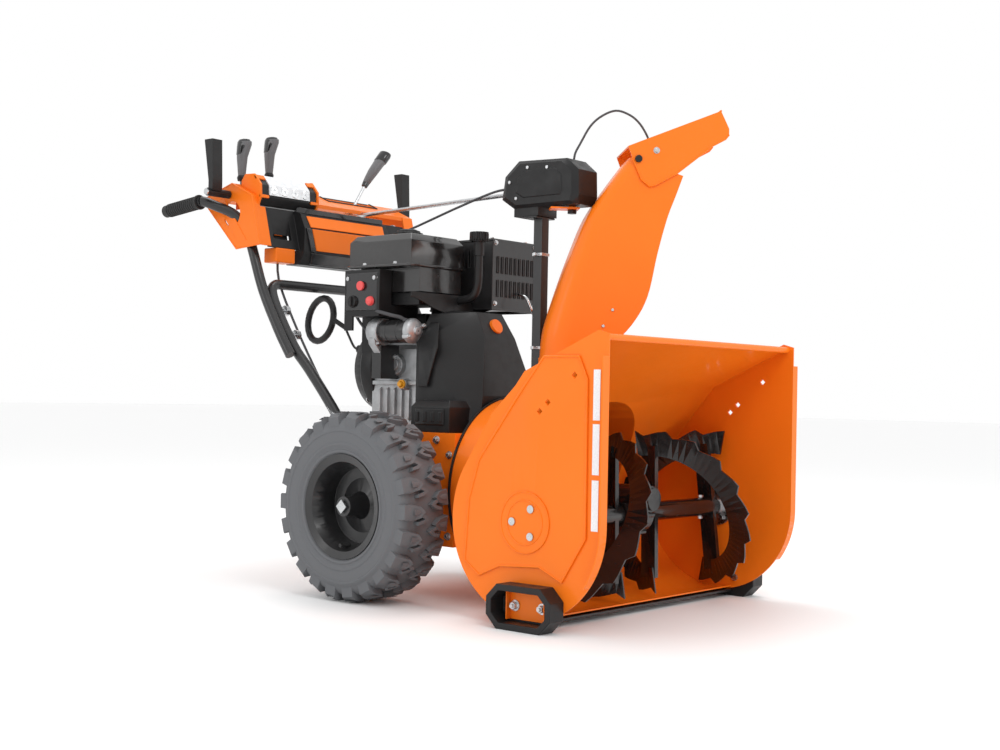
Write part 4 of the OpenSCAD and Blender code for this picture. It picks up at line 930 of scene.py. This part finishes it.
    def _controls(self) -> None:
        """The control box: raised frame, choke knob and primer bulb."""
        x = -192.0
        face = Workpiece("control_face", SHINY)
        face.plate([(x + 1, 104, 646), (x + 1, 208, 646), (x + 1, 208, 736), (x + 1, 104, 736)], (-3.5, 0, 0), 0.96)
        face.place(0.0014, 3)
        choke = Workpiece("choke_knob", PLASTIC)
        choke.bar((x - 2, 182, 668), (x - 9, 182, 668), 15, 13, 40)
        choke.plate([(x - 8, 178, 656), (x - 8, 186, 656), (x - 8, 186, 680), (x - 8, 178, 680)], (-6, 0, 0), 0.86)
        choke.place(0.0012)
        primer = Workpiece("primer_bulb", RED)
        primer.lathe([(0, x - 13), (5, x - 12.4), (9, x - 10), (11, x - 6), (11.5, x - 2), (0, x - 2)],
                     (0, 124, 668), Axis.X, 40)
        primer.place(0)

    def _muffler(self) -> None:
        """Folded edges, louvre hoods, screws and the wire loop of the muffler guard."""
        low, high = (26.0, -60.0, 656.0), (190.0, 140.0, 826.0)
        hoods = Workpiece("muffler_hoods", BLACK)
        for row in (0, 1):
            for i in range(9):
                x = low[0] + 16 + i * 16
                z = 688 + row * 56
                y = low[1] + 1
                hoods.plate([(x - 1.2, y, z - 1), (x + 1.4, y, z - 1), (x + 1.4, y, z + 41), (x - 1.2, y, z + 41)],
                            (0, -3.5, 0), 0.9)
        for i in range(7):
            y = low[1] + 30 + i * 20
            hoods.plate([(low[0] + 1, y - 1.2, 759), (low[0] + 1, y + 1.4, 759), (low[0] + 1, y + 1.4, 801),
                         (low[0] + 1, y - 1.2, 801)], (-3.5, 0, 0), 0.9)
        hoods.place(0.0006)
        rim = Workpiece("muffler_rim", BLACK)
        for z in (low[2] + 2, high[2] - 5):
            rim.sweep([(low[0] + 1, low[1] + 1, z), (high[0] - 1, low[1] + 1, z), (high[0] - 1, high[1] - 1, z),
                       (low[0] + 1, high[1] - 1, z)], 2.6, 10, closed=True)
        rim.place(0)
        screws = Workpiece("muffler_screws", ZINC)
        for x in (low[0] + 10, high[0] - 8):
            for z in (672, 816):
                screws.bolt((x, low[1], z), (0, -1, 0), 4.6)
        for y in (-40, 124):
            screws.bolt((low[0] + 20, y, high[2]), (0, 0, 1), 4.6)
            screws.bolt((high[0] - 20, y, high[2]), (0, 0, 1), 4.6)
        screws.place(0.0004)
        loop = Workpiece("guard_loop", CHROME)
        loop.sweep(spline([(112, -58, 700), (112, -92, 690), (118, -104, 664), (140, -106, 640), (164, -100, 634),
                           (178, -84, 640), (182, -58, 656)], 6), 3.4, 14)
        loop.place(0)

    def _caps(self) -> None:
        """Grip ribs of the fuel cap and of the oil cap."""
        fuel = Workpiece("fuel_cap_ribs", PLASTIC, "fuel_cap")
        for i in range(18):
            t = math.radians(i * 20)
            x, y = -88 + 32.5 * math.cos(t), 108 + 32.5 * math.sin(t)
            fuel.bar((x, y, 828.6), (x, y, 835.6), 2.6, 2.0, 10)
        fuel.lathe([(0, 839.6), (20, 839.6), (22, 842), (19, 844), (0, 844)], (-88, 108, 0), Axis.Z, 48)
        fuel.place(0.0004)
        oil = Workpiece("oil_cap_ribs", PLASTIC, "oil_cap")
        for i in range(20):
            t = math.radians(i * 18)
            x, y = -22 + 21 * math.cos(t), -58 + 21 * math.sin(t)
            oil.bar((x, y, 814), (x, y, 832), 1.9, 1.6, 8)
        oil.place(0)

    def _recoil(self) -> None:
        """Raised rings, screws and the hub of the recoil starter's cover."""
        cover = Workpiece("recoil_rings", SHINY)
        y = 204.2
        hub = (0, 0, self.crank_height)
        for r, top in ((44, 87), (92, 69)):
            cover.lathe([(r, y + top - 4), (r + 5, y + top - 5), (r + 4, y + top + 2), (r + 1, y + top + 3)],
                        hub, Axis.Y, 80)
        cover.lathe([(0, y + 86), (24, y + 86), (22, y + 92), (14, y + 94), (0, y + 94)], hub, Axis.Y, 48)
        cover.place(0.0004)
        screws = Workpiece("recoil_screws", ZINC)
        for a in (45, 135, 225, 315):
            t = math.radians(a)
            screws.bolt((107.5 * math.sin(t), y + 40, self.crank_height + 107.5 * math.cos(t)), (0, 1, 0), 5)
        screws.place(0.0004)


@dataclass
class BeltCover:
    """Raised panels, screws and a plain boss on the cover over the belts."""

    def build(self) -> None:
        """Builds the cover's details."""
        panel = Workpiece("belt_cover_panels", PLASTIC)
        panel.plate([(-150.5, 10, 470), (-150.5, -22, 470), (-140, -44, 560), (-112, -20, 622), (-112, 6, 622),
                     (-150.5, 10, 574)], (-4, -2, 0), 0.9)
        panel.plate([(-181, -104, 384), (-181, -14, 384), (-181, -14, 422), (-181, -104, 422)], (-2.6, 0, 0), 0.9)
        for k in range(4):
            y = -100 + k * 24
            rib = ((y, 390), (y + 12, 390), (y + 12, 416), (y, 416))
            panel.plate([(-181, py, pz) for py, pz in rib], (-4.4, 0, 0), 0.84)
        panel.plate([(-80, -137, 384), (80, -137, 384), (72, -137, 440), (-72, -137, 440)], (0, -8, 0), 0.92)
        panel.place(0.0016, 3)
        badge = Workpiece("cover_boss", ORANGE)
        badge.bar((0, -92, 612), (0, -101, 616), 19, 17.5, 64)
        badge.place(0.001)
        screws = Workpiece("belt_cover_screws", ZINC)
        for x in (-1, 1):
            screws.bolt((x * 92, -143, 392), (0, -1, 0), 5.5)
            screws.bolt((x * 128, -62, 380), (x * 0.8, -0.6, 0), 5.5)
        screws.place(0.0005)


@dataclass
class Dash:
    """The operator's panel: shell creases, console, headlight, levers and their slots."""

    def build(self) -> None:
        """Builds the panel's details."""
        self._shell()
        self._console()
        self._headlight()
        self._levers()

    def _shell(self) -> None:
        """Folded edges and shallow creases of the orange shell, and the slots' black surrounds."""
        crease = Workpiece("dash_creases", MOULDED)
        for side in (-1, 1):
            x = side * 279.2
            edge = ((648, 932.5), (533, 964.5), (456, 931), (422.5, 808.5), (511, 802.2))
            crease.sweep([(x, y, z) for y, z in edge], 2.2, 10, closed=True)
            panel = ((470, 820), (500, 818), (598, 922), (560, 930))
            crease.plate([(side * 279.5, y, z) for y, z in panel], (side * 2.0, 0, 0), 0.94)
        crease.place(0.0008)
        slots = Workpiece("lever_slots", PLASTIC)
        for x in (-150, -238):
            slots.sweep(self._slot_ring(x, 496, 602, 7.5), 2.0, 8, closed=True)
        slots.sweep(self._slot_ring(103, 502, 538, 90), 2.2, 10, closed=True)
        slots.place(0)
        box = Workpiece("dash_box", MOULDED)
        box.box((-226, 424, 770), (-164, 470, 806))
        box.place(0.003, 3)

    def _slot_ring(self, x: float, y0: float, y1: float, half: float) -> list[Point]:
        """The outline of a slot in the sloping top of the shell.

        Args:
            x: Its middle.
            y0: Its front end.
            y1: Its back end.
            half: Half its width.

        Returns:
            Its corners, round in order.
        """
        ridge, ridge_height = 533, 966

        def top(y: float) -> float:
            return ridge_height - ((y - ridge) * 32 / 115 if y > ridge else (ridge - y) * 34 / 78)

        fold = min(ridge, y1)
        run = [(x - half, y0), (x + half, y0), (x + half, fold), (x + half, y1), (x - half, y1), (x - half, fold)]
        return [(px, py, top(py) + 0.8) for px, py in run]

    def _console(self) -> None:
        """The black nose with its orange insert, its wing and the recess beside it."""
        nose = Workpiece("nose_frame", SHINY)
        nose.plate([(-150, 450, 904), (150, 450, 904), (138, 424, 898), (-138, 424, 898)], (0, -6, 12), 0.96)
        nose.plate([(-148, 406, 862), (-132, 406, 862), (-112, 408, 802), (-128, 408, 802)], (0, -5, -1), 0.95)
        nose.plate([(148, 406, 862), (132, 406, 862), (112, 408, 802), (128, 408, 802)], (0, -5, -1), 0.95)
        nose.plate([(-128, 408, 802), (128, 408, 802), (118, 426, 774), (-118, 426, 774)], (0, -5, -3), 0.97)
        nose.place(0.0015, 3)
        insert = Workpiece("nose_insert", MOULDED)
        insert.plate([(-128, 406, 860), (128, 406, 860), (110, 408, 806), (-110, 408, 806)], (0, -2.6, 0), 0.985)
        insert.plate([(-134, 421, 892), (134, 421, 892), (130, 407, 863), (-130, 407, 863)], (0, -2.4, 1.2), 0.985)
        insert.place(0.0009)
        back = Workpiece("recess_back", PLASTIC)
        back.plate([(-234, 452, 820), (-164, 452, 820), (-164, 468, 900), (-234, 468, 900)], (0, 2.5, 0))
        back.place(0.0006)
        recess = Workpiece("recess_tongue", MOULDED)
        recess.plate([(-212, 447, 838), (-186, 447, 838), (-186, 452, 872), (-212, 452, 872)], (0, 5, 0), 0.95)
        recess.place(0.002, 3)

    def _headlight(self) -> None:
        """The lamp's long clear lens between two orange end brackets, with its reflectors."""
        lens = Workpiece("headlight_lens", LENS)
        lens.loft([[(x, 441, 934), (x, 442.8, 959.5), (x, 465, 984.2), (x, 474, 981), (x, 452, 955), (x, 447, 936)]
                   for x in (-236, -204, -172, -140, -104)])
        lens.place(0.0008)
        cells = Workpiece("headlight_cells", CHROME)
        for i in range(4):
            x = -222 + i * 34
            cells.lathe([(3, 440.0), (10, 440.0), (11.5, 441.8), (9, 443.4), (3, 443.4)], (x, 0, 947), Axis.Y, 32)
        cells.place(0)
        claw = Workpiece("headlight_brackets", MOULDED)
        outline = [(452, 904), (440, 929), (442, 960), (466, 986.5), (502, 988), (515, 972), (515, 928), (482, 904)]
        for end, way in ((-265, 6), (-73, -6)):
            claw.plate([(end, y, z) for y, z in outline], (way, 0, 0), 0.99)
            for row in ([(440, 926), (440.4, 934), (447, 934), (447, 926)],
                        [(455, 974), (464, 984.5), (469, 980), (460, 970)]):
                claw.plate([(end, y, z) for y, z in row], (way * 4.6, 0, 0), 0.96)
        claw.place(0.0015, 3)

    def _levers(self) -> None:
        """Black caps and black collars on the levers' grey grips."""
        y, z = 547.0, 915.0
        for x, body, reach in ((-150, "speed", 180), (-238, "tilt", 162)):
            cap = Workpiece(f"{body}_cap", SHINY, body)
            sections = ((reach - 34, 13.0, 17.5, -3), (reach - 14, 15.2, 21, -9), (reach - 3, 14.6, 20.5, -10),
                        (reach + 3, 11.5, 16.5, -10.5), (reach + 5, 6, 9, -10.5))
            cap.loft([[(x + wx * math.cos(a), y + off + wy * math.sin(a) + 3, z + h)
                       for a in (math.radians(k) for k in range(0, 360, 12))] for h, wx, wy, off in sections])
            cap.place(0.0004)
            collar = Workpiece(f"{body}_collar", PLASTIC, body)
            collar.lathe([(3.6, z + reach - 100), (10, z + reach - 100), (12, z + reach - 92), (9.6, z + reach - 86),
                          (3.6, z + reach - 86)], (x, y, 0), Axis.Z, 40)
            collar.place(0.0005)


@dataclass
class ChuteLever:
    """The grip and the cap on the operator's end of the chute control rod."""

    front: Point = (0.0, -289.0, 925.0)
    back: Point = (103.0, 520.0, 922.0)
    lean: float = 30.0

    def build(self) -> None:
        """Builds the grip, the cap and the rod's end pieces."""
        along = (Vector(self.back) - Vector(self.front)).normalized()
        level_up = (Vector((0, 0, 1)) - along * along.z).normalized()
        t = math.radians(self.lean)
        up = level_up * math.cos(t) + along.cross(level_up) * math.sin(t)
        across = along.cross(up)

        def ring(height: float, x: float, y: float, half_x: float, half_y: float) -> list[Point]:
            middle = Vector(self.back) + up * height + across * x + along * y
            return [tuple(middle + across * (half_x * math.cos(a)) + along * (half_y * math.sin(a)))
                    for a in (math.radians(k) for k in range(0, 360, 12))]

        grip = Workpiece("chute_lever_grip", LEVER, "rod")
        grip.loft([ring(111, 0, -2, 8, 8), ring(112.5, 0, -2, 9.6, 9.6), ring(130, 0, -4.5, 11.2, 13),
                   ring(150, 0, -8, 12.6, 17), ring(172, 1.8, -10, 13.2, 18.4), ring(188, 3.2, -12, 13.9, 19.3)])
        grip.place(0.0004)
        cap = Workpiece("chute_lever_cap", SHINY, "rod")
        cap.loft([ring(184, 3.0, -12, 14.4, 19.9), ring(186, 3.0, -12, 15.4, 21), ring(206, 5, -14, 15.6, 21),
                  ring(213, 5, -14, 14.6, 19.8), ring(216, 5, -14, 8, 12)])
        cap.place(0.0004)
        stem = Workpiece("chute_lever_collar", SHINY, "rod")
        stem.loft([ring(height, 0, -2, half, half)
                   for height, half in ((100, 6), (101, 8), (110, 9.4), (113, 9.2))])
        stem.place(0.0004)


@dataclass
class Handles:
    """The ribs round the two hand grips."""

    front: Point = (330.0, 584.0, 918.0)
    back: Point = (330.0, 724.0, 903.0)
    ribs: int = 15
    rib_radius: float = 17.1
    rib_width: float = 3.2

    def build(self) -> None:
        """Builds the ribs of both grips."""
        ribs = Workpiece("grip_ribs", GRIP)
        start, length = Vector(self.front), Vector(self.back) - Vector(self.front)
        half = length.normalized() * (self.rib_width / 2)
        for side in (-1, 1):
            for i in range(self.ribs):
                middle = start + length * (0.13 + i * 0.055)
                ends = [(side * p.x, p.y, p.z) for p in (middle - half, middle + half)]
                ribs.bar(ends[0], ends[1], self.rib_radius, self.rib_radius, 40)
        ribs.place(0.0006)


@dataclass
class GearHead:
    """Details of the chute's gear head and its pole."""

    def build(self) -> None:
        """Builds the head's parting line, screws and the pole's clips."""
        y0, z0 = -313.0, 880.0
        line = [(-37, 0), (140, 0), (176, 23), (168, 75), (128, 108), (-10, 103), (-42, 76), (-44, 20)]
        ribs = Workpiece("gear_head_ribs", PLASTIC)
        inner = [(20 + (a - 60) * 0.62 + 40, 54 + (b - 54) * 0.6) for a, b in line]
        for side in (-1, 1):
            ribs.plate([(side * 41.5, y0 + a, z0 + b) for a, b in inner], (side * 2.4, 0, 0), 0.94)
        ribs.place(0.0012, 3)
        screws = Workpiece("gear_head_screws", ZINC)
        for side in (-1, 1):
            for a, b in ((128, 22), (148, 60), (96, 90), (40, 86)):
                screws.bolt((side * 40.5, y0 + a, z0 + b), (side, 0, 0), 4.2)
        screws.place(0.0004)
        clip = Workpiece("pole_clip", ZINC)
        for z in (560, 772):
            clip.box((-14.2, -240.2, z), (14.2, -211.8, z + 7))
            clip.box((-24, -229, z), (-13, -222, z + 7))
        clip.place(0.0008)
        bolts = Workpiece("pole_bolts", ZINC)
        for z in (462, 492):
            bolts.bolt((-13, -226, z), (-1, 0, 0), 6.5)
            bolts.bolt((13, -226, z), (1, 0, 0), 6.5)
        bolts.place(0.0005)


@dataclass
class Housing:
    """Rolled edges, seams and fasteners of the auger housing, the chassis and the skids."""

    def build(self) -> None:
        """Builds the housing's details."""
        fixings = Workpiece("housing_bolts", ZINC)
        for side in (-1, 1):
            for z in (320, 220, 140):
                fixings.bolt((side * 190, -130, z), (side, 0, 0), 6.5)
            fixings.bolt((side * 190, -91, 352), (side, 0, 0), 7)
            fixings.bolt((side * 190, 120, 300), (side, 0, 0), 6.5)
        fixings.place(0.0005)
        beads = Workpiece("plate_beads", ORANGE)
        panel = [(-40, 325), (-125, 325), (-145, 282), (-147, -21), (-92, -108), (-37, -84), (64, -90), (116, -113),
                 (155, -86), (147, 36), (122, 118), (21, 251)]
        beads.sweep([(358.0, -486 + a, 207 + b) for a, b in panel], 2.4, 12, closed=True)
        for radius in (60, 44):
            beads.sweep([(359.4, -486 + radius * math.cos(math.radians(a)), 207 + radius * math.sin(math.radians(a)))
                         for a in range(0, 360, 6)], 1.6, 10, closed=True)
        beads.mirror()
        beads.place(0)
        seam = Workpiece("drum_seam", PLASTIC)
        seam.lathe([(205, -152), (211.5, -152), (211.5, -146.5), (205, -146.5)], (0, 0, 240), Axis.Y, 128)
        seam.place(0.0005)
        spring = Workpiece("return_springs", ZINC)
        for side in (-1, 1):
            path = [(side * 214 + 6.5 * math.cos(t / 8 * 2 * math.pi), 236 - 50 * t / 96,
                     420 - 44 * t / 96 + 6.5 * math.sin(t / 8 * 2 * math.pi)) for t in range(97)]
            spring.sweep(path, 1.4, 6)
        spring.place(0)


@dataclass
class Studio:
    """The floor, the lights and the camera."""

    camera_at: Point = (-2492.6, -2222.4, 457.0)
    yaw: float = 0.8681
    pitch: float = 0.0136
    roll: float = 0.0199
    lens: float = 50.57

    def build(self) -> None:
        """Sets up the floor, the lights and the camera."""
        self._floor()
        self._lights()
        self._camera()

    def _floor(self) -> None:
        """A plain pale floor."""
        bm = bmesh.new()
        bmesh.ops.create_grid(bm, x_segments=1, y_segments=1, size=30)
        mesh = bpy.data.meshes.new("floor")
        bm.to_mesh(mesh)
        bm.free()
        floor = bpy.data.objects.new("floor", mesh)
        bpy.context.scene.collection.objects.link(floor)
        pale = bpy.data.materials.new("pale_floor")
        pale.use_nodes = True
        shader = pale.node_tree.nodes["Principled BSDF"]
        shader.inputs["Base Color"].default_value = (0.95, 0.95, 0.95, 1)
        shader.inputs["Roughness"].default_value = 0.6
        mesh.materials.append(pale)

    def _lights(self) -> None:
        """Soft studio light from above and both sides."""
        world = bpy.data.worlds.new("studio")
        world.use_nodes = True
        world.node_tree.nodes["Background"].inputs["Color"].default_value = (1, 1, 1, 1)
        world.node_tree.nodes["Background"].inputs["Strength"].default_value = 1.0
        bpy.context.scene.world = world
        bpy.context.scene.view_settings.view_transform = "Standard"
        lamps = (
            ("key", (-1.6, -3.0, 3.4), 1.4, 34.0),
            ("side", (-3.4, 1.4, 1.6), 1.2, 10.0),
            ("front", (2.0, -3.2, 1.4), 1.2, 8.0),
            ("top", (0.5, 0.6, 4.0), 1.8, 40.0),
        )
        for name, at, size, power in lamps:
            light = bpy.data.lights.new(name, "AREA")
            light.shape = "SQUARE"
            light.size = size
            light.energy = power
            lamp = bpy.data.objects.new(name, light)
            bpy.context.scene.collection.objects.link(lamp)
            lamp.location = at
            lamp.rotation_euler = (Vector((0, 0, 0.5)) - Vector(at)).to_track_quat("-Z", "Y").to_euler()

    def _camera(self) -> None:
        """The camera, level with the middle of the machine, ahead of its right side."""
        ahead = Vector((math.sin(self.yaw) * math.cos(self.pitch), math.cos(self.yaw) * math.cos(self.pitch),
                        math.sin(self.pitch)))
        level = Vector((math.cos(self.yaw), -math.sin(self.yaw), 0))
        upright = level.cross(ahead)
        right = level * math.cos(self.roll) + upright * math.sin(self.roll)
        up = upright * math.cos(self.roll) - level * math.sin(self.roll)
        data = bpy.data.cameras.new("camera")
        data.lens = self.lens
        data.sensor_width = 36
        data.clip_start, data.clip_end = 0.05, 100
        camera = bpy.data.objects.new("camera", data)
        bpy.context.scene.collection.objects.link(camera)
        turn = Matrix((right, up, -ahead)).transposed().to_4x4()
        camera.matrix_world = Matrix.Translation(mm(*self.camera_at)) @ turn
        bpy.context.scene.camera = camera


def main() -> None:
    """Builds the machine, one sub-assembly after another."""
    logging.basicConfig(level=logging.WARNING)
    Studio().build()
    CarriedOver({
        "auger_housing": (ORANGE, 0.001), "side_plate_right": (ORANGE, 0.0015), "side_plate_left": (ORANGE, 0.0015),
        "impeller_drum": (ORANGE, 0.001), "scraper_bar": (BLACK, 0.001), "skid_shoes": (PLASTIC, 0.003),
        "skid_brackets": (ORANGE, 0.0006), "reflectors": (PALE, 0.0002), "fasteners": (ZINC, 0.0008),
        "shaft_bearings": (ZINC, 0.001), "gearcase": (FLIGHT, 0.002), "auger_shaft": (ZINC, 0.0008),
        "auger_right": (FLIGHT, 0.0008), "auger_left": (FLIGHT, 0.0008), "worm_wheel": (CAST, 0.0),
        "impeller_shaft": (ZINC, 0.0), "impeller": (FLIGHT, 0.0008), "impeller_pulley": (CAST, 0.001),
        "drive_belts": (BELT, 0.0), "crank_pulley": (CAST, 0.001), "belt_cover": (PLASTIC, 0.006),
        "chassis": (ORANGE, 0.0012), "traction_gearcase": (CAST, 0.003), "drive_disc": (CAST, 0.001),
        "hex_shaft": (ZINC, 0.0005), "friction_wheel": (GRIP, 0.001), "rim_right": (BLACK, 0.001),
        "axle_right": (ZINC, 0.0006), "rim_left": (BLACK, 0.001), "axle_left": (ZINC, 0.0006),
        "engine_block": (ALLOY, 0.002), "recoil_cover": (PLASTIC, 0.002), "recoil_handle": (PLASTIC, 0.0),
        "fuel_tank": (TANK, 0.004), "fuel_cap": (PLASTIC, 0.002), "control_box": (PLASTIC, 0.003),
        "stop_switch": (RED, 0.001), "muffler": (BLACK, 0.002), "oil_tube": (PLASTIC, 0.0),
        "oil_cap": (PLASTIC, 0.001),
        "chute_pole": (BLACK, 0.0015), "gear_head": (PLASTIC, 0.004), "deflector_pin": (PLASTIC, 0.001),
        "deflector_cable": (CABLE, 0.0), "deflector": (ORANGE, 0.0012), "chute_rod": (ZINC, 0.0),
        "handlebar": (BLACK, 0.0), "dash": (MOULDED, 0.0015), "dash_panel": (PLASTIC, 0.002),
        "headlight": (PLASTIC, 0.003), "hand_grips": (GRIP, 0.001), "speed_lever": (LEVER, 0.001),
        "deflector_lever": (LEVER, 0.001), "clutch_right": (PLASTIC, 0.002), "clutch_left": (PLASTIC, 0.002),
        "control_cables": (CABLE, 0.0),
    }).build()
    for part in (Housing(), Wheel("right", "wheel_right", -1), Wheel("left", "wheel_left", 1), Chute(), Deflector(),
                 GearHead(), Engine(), BeltCover(), Dash(), ChuteLever(), Handles()):
        logger.info("building %s", type(part).__name__)
        part.build()


if __name__ == "__main__":
    main()
